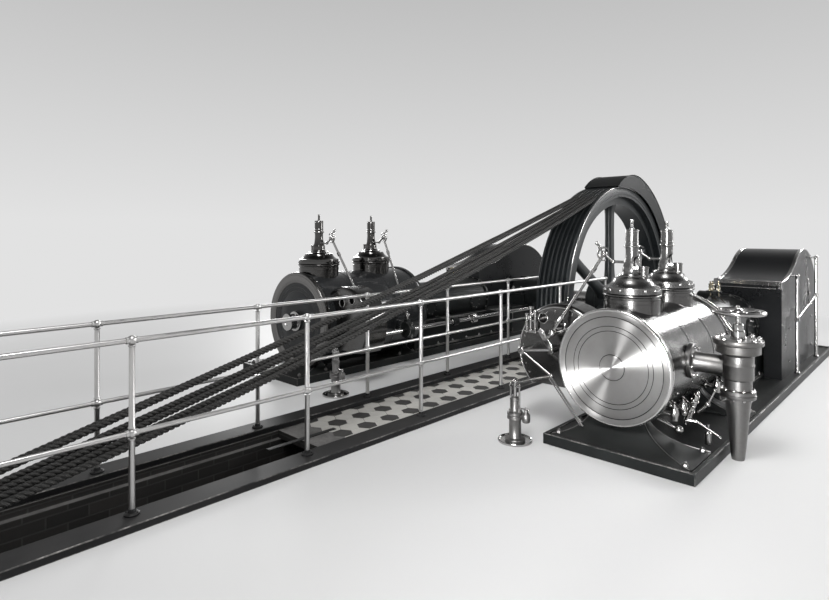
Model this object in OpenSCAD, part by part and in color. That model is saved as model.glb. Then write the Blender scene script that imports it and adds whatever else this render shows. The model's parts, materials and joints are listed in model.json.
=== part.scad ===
// Horizontal cross-compound steam engine with a rope flywheel between its two cylinders.
// X runs along the crankshaft, Y along the two engine axes and Z up.
// The origin lies on the underside of the foundation, below the middle of the wheel.

/* [Layout] */
// Height of the engine-room floor above the underside of the foundation
floor_h = 1300; // [1280:10:1500]
// Height of the crankshaft above the engine-room floor
shaft_h = 600; // [590:5:640]
// Distance from the wheel's middle plane to the high-pressure axis
hp_dist = 1820; // [1780:10:2000]
// Distance from the wheel's middle plane to the low-pressure axis
lp_dist = 1700; // [1690:10:1900]

/* [Flywheel] */
// Outer radius of the flywheel
wheel_r = 1650; // [1500:10:1680]
// Width of the flywheel's rim
wheel_w = 440; // [424:4:460]
// Radial depth of the rim
rim_depth = 260; // [220:10:300]
// Number of arms
arm_count = 6; // [5:1:8]
// Breadth of an arm, measured round the wheel
arm_b = 160; // [120:5:180]
// Thickness of an arm along the shaft
arm_t = 110; // [90:5:130]
// Radius of the hub
hub_r = 290; // [260:10:320]
// Length of the hub
hub_len = 480; // [450:10:520]

/* [Rope drive] */
// Number of ropes
rope_count = 6; // [4:1:6]
// Diameter of a rope
rope_d = 48; // [40:1:50]
// Spacing of the ropes
rope_pitch = 64; // [60:1:66]
// How far a rope lies below the edge of the grooved rim
rope_sink = 6; // [4:1:12]
// Radius of the driven sheave, to its edge
sheave_r = 480; // [420:5:500]
// Distance from the crankshaft to the sheave's shaft
sheave_dist = 8850; // [8600:10:8900]
// Height of the sheave's shaft above the floor of the race
sheave_h = 610; // [590:5:650]
// Radius of the sag of the upper rope run
sag_r = 65000; // [50000:1000:90000]

/* [Crankshaft] */
// Radius of the shaft between its bearings
shaft_r = 110; // [95:5:120]
// Throw of the cranks
crank_throw = 420; // [380:5:430]
// Radius of the crank discs
crank_disc_r = 500; // [480:5:520]
// Thickness of a crank disc
crank_disc_t = 90; // [70:5:95]
// Radius of a crank pin
crank_pin_r = 60; // [50:5:70]
// Length of a crank pin
crank_pin_len = 150; // [120:10:180]

/* [High-pressure cylinder] */
// Radius of the high-pressure cylinder's cover
hp_cover_r = 433; // [415:1:440]
// Distance from the crankshaft to the front of the cover
hp_cover_dist = 3950; // [3920:10:4000]
// Length of the cylinder behind its cover
hp_cyl_len = 1420; // [1380:10:1450]
// Distance from the cover's front to the front valve
hp_valve_set = 373; // [360:1:400]
// Distance between the front and the rear valve
hp_valve_gap = 743; // [700:1:760]
// Radius of the drums below the valve bonnets
hp_drum_r = 205; // [190:1:215]
// How far the bed plate reaches in front of the cover
hp_plate_lead = 230; // [200:10:250]
// Distance of the side shaft from the cylinder's axis
hp_side_shaft = 520; // [515:5:560]

/* [Low-pressure cylinder] */
// Radius of the low-pressure cylinder's cover
lp_cover_r = 545; // [500:1:550]
// Distance from the crankshaft to the front of the cover
lp_cover_dist = 4250; // [4230:10:4290]
// Length of the cylinder behind its cover
lp_cyl_len = 1520; // [1480:10:1560]
// Distance from the cover's front to the front valve
lp_valve_set = 310; // [305:1:330]
// Distance between the front and the rear valve
lp_valve_gap = 810; // [780:1:830]
// Radius of the drums below the valve bonnets
lp_drum_r = 225; // [200:1:235]
// How far the bed plate reaches in front of the cover
lp_plate_lead = 290; // [250:10:300]
// Distance of the side shaft from the cylinder's axis
lp_side_shaft = 640; // [630:5:660]

/* [Cylinder details] */
// Thickness of a cylinder cover
cover_t = 60; // [50:5:80]
// How much smaller the lagging is than the cover
lag_step = 18; // [10:1:25]
// How far the valve drums rise above the lagging
drum_rise = 110; // [100:5:130]
// Height of a bonnet's dome
dome_h = 110; // [95:5:125]
// Height of a bonnet's neck
neck_h = 240; // [220:5:260]
// Radius at the top of a bonnet's neck
neck_r = 47; // [42:1:52]
// Height of a bonnet's spring cap
cap_h = 140; // [120:5:160]
// Radius of a bonnet's spring cap
cap_r = 49; // [44:1:52]
// Length of the spindle that stands out of a spring cap
spindle_h = 75; // [60:5:90]
// Radius of that spindle
spindle_r = 12; // [9:1:15]

/* [Engine bed] */
// Thickness of a bed plate
plate_t = 60; // [50:5:80]
// How far a bed plate reaches from the axis towards the wheel
plate_in = 430; // [425:5:450]
// How far a bed plate reaches from the axis away from the wheel
plate_out = 650; // [630:5:700]
// How far a bed plate reaches behind the crankshaft
plate_tail = 1300; // [1290:10:1400]
// Half the width of the box frame
frame_hw = 330; // [320:5:340]
// How far the box frame's top lies below the crankshaft
frame_drop = 150; // [140:5:170]
// Radius of the round crosshead guide
guide_r = 300; // [280:5:310]

/* [Crank hoods] */
// Radius of a hood's round back
hood_r = 900; // [880:5:920]
// Distance of that round back's centre behind the crankshaft
hood_back = 150; // [130:5:160]
// Distance of a hood's lip in front of the crankshaft
hood_lip = 1050; // [1030:5:1070]
// Height of a hood's lip above the crankshaft
hood_lip_h = 470; // [450:5:490]
// How far a hood reaches from the axis away from the wheel
hood_out = 520; // [500:5:540]
// Thickness of the hoods' and the wheel guard's sheet
sheet_t = 8; // [6:1:12]

/* [Race and railings] */
// Half the width of the rope race
race_hw = 270; // [268:1:280]
// Width of the ledge for the race's cover
ledge_w = 35; // [30:1:40]
// Thickness of the race's cover
race_cover_t = 60; // [50:5:70]
// Width of a kerb
kerb_w = 190; // [180:5:200]
// Height of a kerb above the floor
kerb_h = 45; // [35:5:60]
// Height of the railings above the floor
rail_h = 1000; // [950:10:1050]
// Height of the middle rail above the floor
mid_rail_h = 490; // [450:10:550]
// Distance between the posts
post_pitch = 1165; // [1150:5:1210]
// Number of posts on each side
post_count = 7; // [5:1:7]
// Radius of a post
post_r = 17; // [14:1:20]
// Radius of the rails
rail_r = 15; // [12:1:17]

/* [Hidden] */
$fn = 64;

// Gap between a seated curved face and its seat
seat_gap = 0.3;
// Radial running clearance of a shaft in its bearing
run_gap = 0.06;
// Clearance of a shaft that passes through a plate or case
pass_gap = 8;

shaft_z = floor_h + shaft_h;
plate_top = floor_h + plate_t;
frame_top = shaft_z - frame_drop;

// Foundation: the pit and the race lie below the wheel, and the block reaches round the engines
raft_t = 150;
pit_gap = 100;
pit_floor = shaft_z - wheel_r - pit_gap;
pit_back = wheel_r + pit_gap / 2;
block_front = hp_cover_dist + 670;
block_back = plate_tail + 200;
race_front = sheave_dist + 800;
race_back = pit_back + 450;
race_wall = 170;
side_margin = 20;
stair_margin = 190;
hp_side = hp_dist + plate_out + stair_margin;
lp_side = lp_dist + plate_out + side_margin;
race_out = race_hw + ledge_w + kerb_w;

// Race cover: where it starts and ends, and its joints
cover_from = -5390;
cover_to = -pit_back - 50;
cover_joint = 600;
cover_joint_w = 6;
cover_joint_d = 12;

// Railings: first posts of the near and the far one, distance from the race, feet and joint balls
post_first = -sheave_dist + 980;
near_post_lead = 55;
rail_x = race_hw + ledge_w + 65;
post_foot_r = 42;
post_foot_t = 12;
rail_ball_r = 27;

// Rope grooves
rope_r = rope_d / 2;
groove_r = rope_r + seat_gap;
wheel_rope_r = wheel_r - rope_sink - rope_r;
sheave_rope_r = sheave_r - rope_sink - rope_r;
sheave_w = (rope_count - 1) * rope_pitch + rope_d + 20;
sheave_z = pit_floor + sheave_h;

// Bed plate: raised edge of its oil tray, recess below the crank and room below the cylinder
tray_edge_w = 30;
tray_edge_h = 22;
recess_floor = 15;
part_gap = 8;

// Cylinder feet: lip, corners, breadth at the top as a share of the lagging, and the loft's steps
foot_lip_h = 18;
foot_corner_r = 40;
foot_share = 0.5;
foot_w = 100;
foot_set = 30;
foot_rings = 8;
foot_corner_steps = 5;

// Cylinders: end ring, band round the front of the lagging, valve chests and beads
rear_flange_t = 50;
band_rise = 6;
band_w = 25;
chest_r = 100;
bead_r = 12;
bead_h = 28;

// Box frame: its flanges and the leg that carries the main bearing
flange_t = 36;
flange_w = 25;
leg_back = 620;
box_end = -crank_disc_r - 90;

// Main bearings and cranks, measured from an engine's axis
bearing_out = -140;
bearing_in = -plate_in + 5;
bearing_hl = 290;
bearing_cap_r = 215;
crank_in = -100;
hp_crank_a = 60;
lp_crank_a = 150;

// Crank hoods: height of the top above the lip, and the radius of the sweep between them
hood_lift = 320;
hood_rise = hood_r - hood_lift;
hood_sweep_r = (pow(hood_lip + hood_back, 2) + pow(hood_rise, 2) - pow(hood_r, 2))
    / (2 * (hood_r - hood_rise));

// Wheel guard: room between the wheel and its sheet
guard_gap = 212;

// Valve gear cases: place, size, rounded front rim and the two round holes
case_front_set = 150;
case_len = 270;
case_r = 400;
case_x = -505;
case_up = 10;
case_round = 45;
case_floor = 260;
case_hole_r = 40;
case_holes = [[-149, 271], [8, 231]];

// Side shafts: size, height below the crankshaft, bearings, coupling and rear strap
side_shaft_r = 25;
side_shaft_drop = 160;
side_bearing_r = 52;
side_bearing_hl = 45;
side_bearing_set = 420;
coupling_r = 62;
coupling_t = 36;
strap_r = 95;
strap_hl = 35;
strap_lug = 30;
gear_case_hw = 75;
gear_case_r = 235;

// Bonnets: window through the neck, round opening on its outer side and the small pot in it
window_w = 34;
window_h = 90;
window_at = neck_h * 0.42;
bite_r = 62;
bite_x = 78;
bite_at = neck_h / 2;
pot_r = 34;
pot_x = 92;
pot_h = 95;

// Valve rods: joints, rocker, fork in front of the case, column on the lagging, and straps
valve_rod_r = 11;
rod_socket_r = 22;
rocker_ball_r = 30;
rocker_out = 150;
rocker_tip = [-78, 0, 60];
rocker_end = [-60, 0, 85];
fork_x = 10;
fork_out = 130;
fork_up = 193;
column_r = 18;
column_foot_r = 30;
column_foot_h = 16;
strap_behind = 110;

// Stop valve and pumps beside the cylinders
stop_x = hp_dist + hp_cover_r + 287;
stop_y = -hp_cover_dist + 450;
stop_top = 845;
stop_low = 465;
stop_wheel_h = 1033;
pump_x = hp_dist - plate_in - 180;
pump_y = -hp_cover_dist - 330;
lp_pump_x = -lp_dist + plate_in + 520;
lp_pump_y = -lp_cover_dist - 200;

// Rail beside the high-pressure hood
hood_rail_out = 60;
hood_post_a = -600;
hood_post_b = 560;
hood_post_a_h = 1118;
hood_post_b_h = 1284;

// Places a child at one engine, with x outward from its axis.
module at_hp() { translate([hp_dist, 0, 0]) children(); }
module at_lp() { mirror([1, 0, 0]) translate([lp_dist, 0, 0]) children(); }

// A round bar along Y, along X, or between two points.
module bar_y(r, y0, y1) { translate([0, y0, 0]) rotate([-90, 0, 0]) cylinder(r = r, h = y1 - y0); }
module bar_x(r, x0, x1) { translate([x0, 0, 0]) rotate([0, 90, 0]) cylinder(r = r, h = x1 - x0); }
module strut(a, b, r) {
    d = b - a;
    translate(a) rotate([0, acos(d.z / norm(d)), atan2(d.y, d.x)]) cylinder(r = r, h = norm(d));
}
module block(x0, x1, y0, y1, z0, z1) { translate([x0, y0, z0]) cube([x1 - x0, y1 - y0, z1 - z0]); }

// Extrudes an outline drawn in the Y-Z plane along X.
module along_x(x0, x1) {
    translate([x0, 0, 0]) rotate([90, 0, 90]) linear_extrude(height = x1 - x0) children();
}
// Extrudes an outline drawn in the X-Z plane along Y.
module along_y(y0, y1) {
    translate([0, y1, 0]) rotate([90, 0, 0]) linear_extrude(height = y1 - y0) children();
}

// Foundation, race and railings
module foundation() {
    color("gray") difference() {
        union() {
            block(-lp_side, hp_side, -block_front, block_back, pit_floor - raft_t, floor_h);
            block(-race_out, race_out, -race_front, race_back, pit_floor - raft_t, floor_h);
        }
        block(-race_hw, race_hw, race_wall - race_front, pit_back, pit_floor, floor_h + 1);
        block(-race_hw - ledge_w, race_hw + ledge_w, race_wall - race_front, pit_back,
            floor_h - race_cover_t, floor_h + 1);
    }
}

module race_kerb(side) {
    color("dimgray") translate([side > 0 ? race_hw + ledge_w : -race_out, -race_front, floor_h])
        cube([kerb_w, race_front + race_back, kerb_h]);
}

module race_cover() {
    color("dimgray") difference() {
        block(-race_hw - ledge_w, race_hw + ledge_w, cover_from, cover_to,
            floor_h - race_cover_t, floor_h);
        for (y = [cover_from + cover_joint : cover_joint : cover_to - cover_joint / 2])
            block(-race_hw, race_hw, y, y + cover_joint_w, floor_h - cover_joint_d, floor_h + 1);
    }
}

module railing(side) {
    first = side > 0 ? post_first - near_post_lead : post_first;
    base = floor_h + kerb_h;
    color("silver") translate([side * rail_x, 0, 0]) {
        for (i = [0 : post_count - 1]) translate([0, first + i * post_pitch, 0]) {
            translate([0, 0, base]) cylinder(r = post_foot_r, h = post_foot_t);
            translate([0, 0, base]) cylinder(r = post_r, h = floor_h + rail_h - base);
            translate([0, 0, floor_h + rail_h]) sphere(r = rail_ball_r);
            translate([0, 0, floor_h + mid_rail_h]) sphere(r = rail_ball_r);
        }
        for (h = [rail_h, mid_rail_h])
            translate([0, 0, floor_h + h]) bar_y(rail_r, first, first + (post_count - 1) * post_pitch);
    }
}

// Bed plate with the raised edge of an oil tray, and room for the cylinder's cover and end ring
module bed_plate(front, lead, cover_r, len) {
    y0 = front - lead;
    rear = front + cover_t + len;
    color("darkslategray") difference() {
        union() {
            block(-plate_in, plate_out, y0, plate_tail, floor_h, plate_top);
            difference() {
                block(-plate_in, plate_out, y0, plate_tail, plate_top, plate_top + tray_edge_h);
                block(tray_edge_w - plate_in, plate_out - tray_edge_w, y0 + tray_edge_w,
                    plate_tail - tray_edge_w, plate_top - 1, plate_top + tray_edge_h + 1);
                block(-plate_in - 1, plate_in, -crank_disc_r - 200, plate_tail + 1,
                    plate_top - 1, plate_top + tray_edge_h + 1);
            }
        }
        block(crank_in - 20, hood_out - 40, -crank_disc_r - 60, crank_disc_r + 60,
            floor_h + recess_floor, plate_top + 1);
        translate([0, 0, shaft_z])
            bar_y(cover_r + part_gap, front - part_gap, front + cover_t + part_gap, $fn = 256);
        translate([0, 0, shaft_z])
            bar_y(cover_r + part_gap, rear - rear_flange_t - part_gap, rear + part_gap, $fn = 256);
    }
}

// One ring of a foot's loft: a rectangle with rounded corners, from x[0] to x[1] and y[0] to y[1]
function foot_ring(x, y, z) = [for (c = [0 : 3], k = [0 : foot_corner_steps])
    let (a = 90 * (c + k / foot_corner_steps),
        cx = c == 0 || c == 3 ? x[1] - foot_corner_r : x[0] + foot_corner_r,
        cy = c < 2 ? y[1] - foot_corner_r : y[0] + foot_corner_r)
            [cx + foot_corner_r * cos(a), cy + foot_corner_r * sin(a), z]];

// Loft whose four sides sweep in a quarter round from the bed plate up to the cylinder
module foot_loft(base_x, base_y, top_x, top_y, rise) {
    n = 4 * (foot_corner_steps + 1);
    rings = concat([foot_ring(base_x, base_y, plate_top)],
        [for (i = [0 : foot_rings]) let (a = 90 * i / foot_rings)
            foot_ring(base_x + (top_x - base_x) * sin(a), base_y + (top_y - base_y) * sin(a),
                plate_top + foot_lip_h + rise * (1 - cos(a)))]);
    last = (len(rings) - 1) * n;
    faces = concat([[for (j = [0 : n - 1]) j]], [[for (j = [n - 1 : -1 : 0]) last + j]],
        [for (i = [0 : len(rings) - 2], j = [0 : n - 1]) let (k = (j + 1) % n)
            [i * n + j, (i + 1) * n + j, (i + 1) * n + k, i * n + k]]);
    polyhedron(points = [for (r = rings, p = r) p], faces = faces);
}

// The two feet, cut to the lagging and clear of the cover, the end ring and the valve chests
module cylinder_foot(front, lead, cover_r, len, valve_set, valve_gap) {
    lag_r = cover_r - lag_step;
    rear = front + cover_t + len;
    ring_y = rear - rear_flange_t;
    edge = tray_edge_w + part_gap;
    base_x = [edge - plate_in, plate_out - edge];
    top_x = [-lag_r * foot_share, lag_r * foot_share];
    front_y = front + cover_t + foot_set;
    rear_y = ring_y - foot_set + part_gap;
    chest_gap = chest_r + 2 * part_gap;
    rise = shaft_h - plate_t - foot_lip_h - lag_r * 0.8;
    color("darkslategray") difference() {
        union() {
            foot_loft(base_x, [front - lead + edge, front + valve_set - chest_gap],
                top_x, [front_y, front_y + foot_w], rise);
            foot_loft(base_x, [front + valve_set + valve_gap + chest_gap, rear - part_gap],
                top_x, [rear_y - foot_w, rear_y], rise);
        }
        translate([0, 0, shaft_z]) {
            bar_y(lag_r + seat_gap, front - 1, rear + 1, $fn = 256);
            bar_y(lag_r + band_rise + seat_gap, front, front + cover_t + band_w + part_gap, $fn = 256);
            bar_y(cover_r + part_gap, front - part_gap, front + cover_t + part_gap, $fn = 256);
            bar_y(cover_r + part_gap, ring_y - part_gap, rear + 1, $fn = 256);
        }
        for (v = [0, 1]) translate([0, front + valve_set + v * valve_gap, floor_h])
            cylinder(r = chest_r + part_gap, h = shaft_h);
    }
}

// Cylinder with its lagging, end ring and valve drums
module cylinder_body(front, len, lag_r, drum_r, valve_set, valve_gap) {
    y0 = front + cover_t;
    color("gainsboro") {
        translate([0, 0, shaft_z]) {
            bar_y(lag_r, y0, y0 + len);
            bar_y(lag_r + lag_step, y0 + len - rear_flange_t, y0 + len);
            bar_y(lag_r + band_rise, y0, y0 + band_w);
        }
        for (v = [0, 1]) translate([0, front + valve_set + v * valve_gap, shaft_z]) {
            cylinder(r = drum_r, h = lag_r + drum_rise);
            translate([0, 0, lag_r + drum_rise - bead_h]) cylinder(r = drum_r + bead_r, h = bead_h);
            translate([0, 0, -shaft_h + plate_t]) cylinder(r = chest_r, h = shaft_h - plate_t);
        }
    }
}

// Polished cover turned with rings and a centre boss
module cover_profile(r) {
    boss_r = r * 0.215;
    ring_r = r * 0.62;
    dish_r = r * 0.7;
    difference() {
        union() {
            square([r - 14, cover_t]);
            translate([r - 14, 14]) circle(r = 14);
            translate([0, 14]) square([r, cover_t - 14]);
        }
        translate([ring_r, -1]) square([dish_r - ring_r, 13]);
        translate([boss_r, -1]) square([ring_r - boss_r, 7]);
    }
}
module cover(front, r) {
    color("silver") translate([0, front, shaft_z]) rotate([-90, 0, 0])
        rotate_extrude() cover_profile(r);
}

// Valve bonnet: dome, waisted neck open on its outer side, spring cap, spindle and small pot
module bonnet(drum_r) {
    waist_r = 70;
    flare_h = 55;
    color("silver") {
        difference() {
            rotate_extrude() union() {
                square([drum_r + bead_r, 24]);
                difference() {
                    square([drum_r, dome_h]);
                    translate([drum_r + 20, dome_h + 30]) circle(r = 95);
                }
                translate([0, dome_h]) difference() {
                    square([waist_r + flare_h, neck_h]);
                    translate([waist_r + flare_h, flare_h + 4]) circle(r = flare_h);
                    translate([waist_r, flare_h]) square([flare_h + 1, neck_h]);
                    translate([neck_r + 330, neck_h * 0.85]) circle(r = 330);
                }
                translate([0, dome_h + neck_h]) square([cap_r + 6, 18]);
                translate([0, dome_h + neck_h + 18]) square([cap_r, cap_h - 18]);
                translate([0, dome_h + neck_h + cap_h]) square([spindle_r, spindle_h]);
            }
            translate([0, 0, dome_h + window_at]) bar_x(window_w / 2, -drum_r, drum_r);
            translate([0, 0, dome_h + window_at + window_h / 2]) bar_x(window_w / 2, -drum_r, drum_r);
            block(-drum_r, drum_r, -window_w / 2, window_w / 2,
                dome_h + window_at, dome_h + window_at + window_h / 2);
            translate([bite_x, 0, dome_h + bite_at]) bar_y(bite_r, -drum_r, drum_r);
        }
        translate([pot_x, 0, dome_h / 2]) cylinder(r = pot_r, h = dome_h / 2 + pot_h);
        translate([pot_x, 0, dome_h + pot_h - 14]) cylinder(r = pot_r + 5, h = 10);
    }
}
module bonnets(front, lag_r, drum_r, valve_set, valve_gap) {
    for (v = [0, 1])
        translate([0, front + valve_set + v * valve_gap, shaft_z + lag_r + drum_rise]) bonnet(drum_r);
}

// Box frame from the cylinder to the main bearing
module bed_frame(rear) {
    leg_in = plate_in - 5;
    color("darkslategray") {
        block(-frame_hw, frame_hw, rear, box_end, plate_top, frame_top);
        block(-frame_hw - flange_w, frame_hw + flange_w, rear, box_end, frame_top - flange_t, frame_top);
        block(-frame_hw - flange_w, frame_hw + flange_w, rear, box_end, plate_top, plate_top + flange_t);
        block(-leg_in, bearing_out, box_end, leg_back, plate_top, frame_top);
    }
}

// Round crosshead guide on the frame, with oil doors
module guide(rear) {
    door_r = 110;
    color("dimgray") difference() {
        translate([0, 0, shaft_z]) union() {
            bar_y(guide_r, rear, -hood_lip);
            bar_y(guide_r + 28, rear, rear + 45);
            bar_y(guide_r + 20, -hood_lip - 40, -hood_lip);
            for (y = [rear + 330, -hood_lip - 330]) translate([0, y, 0])
                for (s = [-1, 1]) bar_x(door_r, s > 0 ? 0 : -guide_r - 12, s > 0 ? guide_r + 12 : 0);
        }
        block(-guide_r - 100, guide_r + 100, rear - 1, -hood_lip + 1, plate_top, frame_top);
    }
}

// Main bearing with its cap and oil box
module main_bearing() {
    half_l = bearing_hl;
    bolt_r = 26;
    x0 = bearing_in;
    color("darkslategray") difference() {
        union() {
            block(x0, bearing_out, -half_l, half_l, frame_top, shaft_z + 20);
            translate([0, 0, shaft_z + 20]) bar_x(bearing_cap_r, x0, bearing_out);
            block(x0 + 90, bearing_out - 90, -70, 70, shaft_z + 180, shaft_z + 290);
            for (y = [-1, 1], x = [x0 + 70, bearing_out - 70])
                translate([x, y * (half_l - 40), shaft_z + 20]) cylinder(r = bolt_r, h = 60);
        }
        translate([0, 0, shaft_z]) bar_x(shaft_r + run_gap, x0 - 1, bearing_out + 1);
        block(x0 - 1, bearing_out + 1, -half_l - 1, half_l + 1, plate_top, frame_top);
    }
}

// Outline of a crank hood: a lip, a hollow sweep up and a round back
module hood_outline(inset) {
    my = hood_back;
    mz = shaft_z + hood_lip_h + hood_lift - hood_r;
    lip_z = shaft_z + hood_lip_h;
    sweep_r = hood_sweep_r;
    ty = my - (hood_lip + my) * hood_r / (hood_r + sweep_r);
    difference() {
        translate([inset - hood_lip, plate_top]) square([ty + hood_lip - inset, lip_z + 400 - plate_top]);
        translate([-hood_lip, lip_z + sweep_r]) circle(r = sweep_r + inset, $fn = 200);
    }
    translate([my, mz]) circle(r = hood_r - inset, $fn = 128);
    translate([ty, plate_top]) square([my + hood_r - inset - ty, mz - plate_top]);
}
module crank_hood() {
    hood_in = bearing_out + 15;
    color("black") difference() {
        along_x(hood_in, hood_out) hood_outline(0);
        along_x(hood_in + sheet_t, hood_out - sheet_t) translate([0, -1]) hood_outline(sheet_t);
        translate([0, 0, shaft_z]) bar_x(shaft_r + pass_gap, hood_in - 1, hood_in + sheet_t + 1);
        block(hood_in - 1, frame_hw + flange_w + seat_gap, -hood_lip - 1, box_end + seat_gap,
            plate_top - 2, frame_top);
        block(hood_in - 1, hood_out + 1, -hood_lip - hood_r, hood_back + hood_r + 1, 0, plate_top);
    }
}

// Side shaft that drives the valve gear, with its coupling
module side_shaft(off, front, rear) {
    y0 = front + case_front_set + case_len - 80;
    mid = (rear - hood_lip) / 2;
    color("silver") translate([-off, 0, shaft_z - side_shaft_drop]) {
        bar_y(side_shaft_r, y0, -shaft_r - 70);
        bar_y(coupling_r, mid - coupling_t - 1, mid - 1);
        bar_y(coupling_r, mid + 1, mid + coupling_t + 1);
    }
}

// Bearings of the side shaft on the box frame, its gear case, and straps beside the cylinder
module side_shaft_bearings(off, lag_r, rear, straps) {
    arm_h = 70;
    color("dimgray") difference() {
        union() {
            for (y = [rear + side_bearing_set, -hood_lip - 100])
                translate([0, y, shaft_z - side_shaft_drop]) {
                    translate([-off, 0, 0]) bar_y(side_bearing_r, -side_bearing_hl, side_bearing_hl);
                    block(-off, -frame_hw, -30, 30, -arm_h / 2 - 20, arm_h / 2 - 20);
                }
            for (y = straps) translate([0, y, shaft_z - side_shaft_drop]) {
                translate([-off, 0, 0]) bar_y(strap_r, -strap_hl, strap_hl);
                block(-off, -lag_r * 0.85, -30, 30, -25, 25);
                block(-off - 30, -off + 30, -30, 30, 0, strap_r + strap_lug);
            }
            translate([0, 0, shaft_z]) bar_x(gear_case_r, -off - gear_case_hw, bearing_in);
            translate([-off, 0, shaft_z - side_shaft_drop]) bar_y(70, -gear_case_r - 60, 0);
        }
        translate([-off, 0, shaft_z - side_shaft_drop])
            bar_y(side_shaft_r + run_gap, rear - hp_cyl_len, -shaft_r - 60);
        for (y = straps)
            translate([0, 0, shaft_z]) bar_y(lag_r + seat_gap, y - 100, y + 100, $fn = 256);
        translate([0, 0, shaft_z]) bar_x(shaft_r + pass_gap, -off - gear_case_hw - 1, 0);
        block(-frame_hw - flange_w - seat_gap, 0, rear - 1, box_end,
            frame_top - flange_t - seat_gap, frame_top + 40);
    }
}

// Rounded case round the eccentrics, with two round holes in its front
module case_profile() {
    translate([0, case_round]) square([case_r, case_len - case_round]);
    square([case_r - case_round, case_round + 1]);
    translate([case_r - case_round, case_round]) circle(r = case_round);
}
module valve_gear_case(off, front, lag_r) {
    y0 = front + case_front_set;
    y1 = y0 + case_len;
    cx = case_x - (off - hp_side_shaft);
    color("dimgray") difference() {
        translate([cx, y0, shaft_z + case_up]) rotate([-90, 0, 0]) rotate_extrude() case_profile();
        block(cx - case_r - 1, cx + case_r + 1, y0 - 1, y1 + 1,
            shaft_z - case_r, shaft_z - case_floor);
        block(-lag_r * 0.6, case_r, y0 - 1, y1 + 1, shaft_z - case_r, shaft_z + case_r + 30);
        translate([0, 0, shaft_z]) bar_y(lag_r + band_rise + seat_gap, y0 - 1, y1 + 1);
        for (h = case_holes)
            translate([cx + h.x, 0, shaft_z + case_up + h.y]) bar_y(case_hole_r, y0 - 1, y0 + 60);
        translate([-off, 0, shaft_z - side_shaft_drop]) bar_y(side_shaft_r + run_gap, y1 - 80.5, y1 + 1);
    }
}

// A ball at a joint of rods, turned so that its poles and seam lie clear of them
module ball(at, r) { translate(at) rotate([90, 160, 0]) sphere(r = r); }

// Rocker in a bonnet's window, with its elbow, its tip and the end beyond it
module rocker(y, arm_z, tip) {
    hub_eye_r = 15;
    elbow_r = 18;
    elbow = [-rocker_out, y, arm_z];
    translate([0, y, arm_z]) bar_x(valve_rod_r, elbow.x, 0);
    translate([0, y, arm_z]) bar_y(hub_eye_r, seat_gap - window_w / 2, window_w / 2 - seat_gap);
    ball(elbow, elbow_r);
    strut(elbow, elbow + tip, valve_rod_r);
    ball(elbow + tip, rocker_ball_r);
    strut(elbow + tip, elbow + tip + rocker_end, valve_rod_r);
}

// Rod from a rocker's tip down to a ball joint
module lift_rod(low, tip) {
    strut(low, tip, valve_rod_r);
    ball(low, rocker_ball_r);
}

// High-pressure rods: the front one leans to a fork on the gear case. The rear rocker stands on
// a column beside its drum, whose foot is cut to the lagging.
module hp_valve_rods(arm_z) {
    case_y = hp_front + case_front_set;
    fork = [case_x + fork_x, case_y - fork_out, shaft_z + fork_up];
    front_y = hp_front + hp_valve_set;
    rear_y = front_y + hp_valve_gap;
    column_x = -(hp_drum_r + bead_r + column_r + part_gap);
    column_h = arm_z + rocker_tip.z - shaft_z;
    lag_h = sqrt(hp_lag_r * hp_lag_r - column_x * column_x);
    color("silver") {
        rocker(front_y, arm_z, rocker_tip);
        lift_rod(fork, [-rocker_out, front_y, arm_z] + rocker_tip);
        translate([fork.x, 0, fork.z]) bar_y(rod_socket_r, fork.y, case_y);
        rocker(rear_y, arm_z, [column_x + rocker_out, 0, rocker_tip.z]);
        difference() {
            translate([column_x, rear_y, shaft_z]) {
                cylinder(r = column_r, h = column_h);
                cylinder(r = column_foot_r, h = lag_h + column_foot_h);
            }
            translate([0, 0, shaft_z])
                bar_y(hp_lag_r + seat_gap, rear_y - 100, rear_y + 100, $fn = 256);
        }
    }
}

// Low-pressure rods: both lean down to a strap on the side shaft
module lp_valve_rods(arm_z) {
    socket_h = 50;
    front_y = lp_front + lp_valve_set;
    lug_z = shaft_z - side_shaft_drop + strap_r + strap_lug;
    color("silver") for (v = [0, 1]) {
        y = front_y + v * lp_valve_gap;
        lug = [-lp_side_shaft, lp_straps[v], lug_z];
        low = lug + [0, 0, socket_h];
        rocker(y, arm_z, rocker_tip);
        lift_rod(low, [-rocker_out, y, arm_z] + rocker_tip);
        strut(lug, low, rod_socket_r);
    }
}

// Sight-feed lubricator on the guide
module lubricator() {
    table_r = 75;
    z0 = shaft_z + guide_r;
    color("goldenrod") translate([0, -hood_lip - 450, z0]) {
        cylinder(r = 20, h = 70);
        translate([0, 0, 70]) cylinder(r = table_r, h = 14);
        for (a = [0, 120, 240]) rotate([0, 0, a]) translate([45, 0, 84]) {
            cylinder(r = 19, h = 75);
            translate([0, 0, 75]) cylinder(r = 7, h = 26);
        }
    }
}

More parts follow.
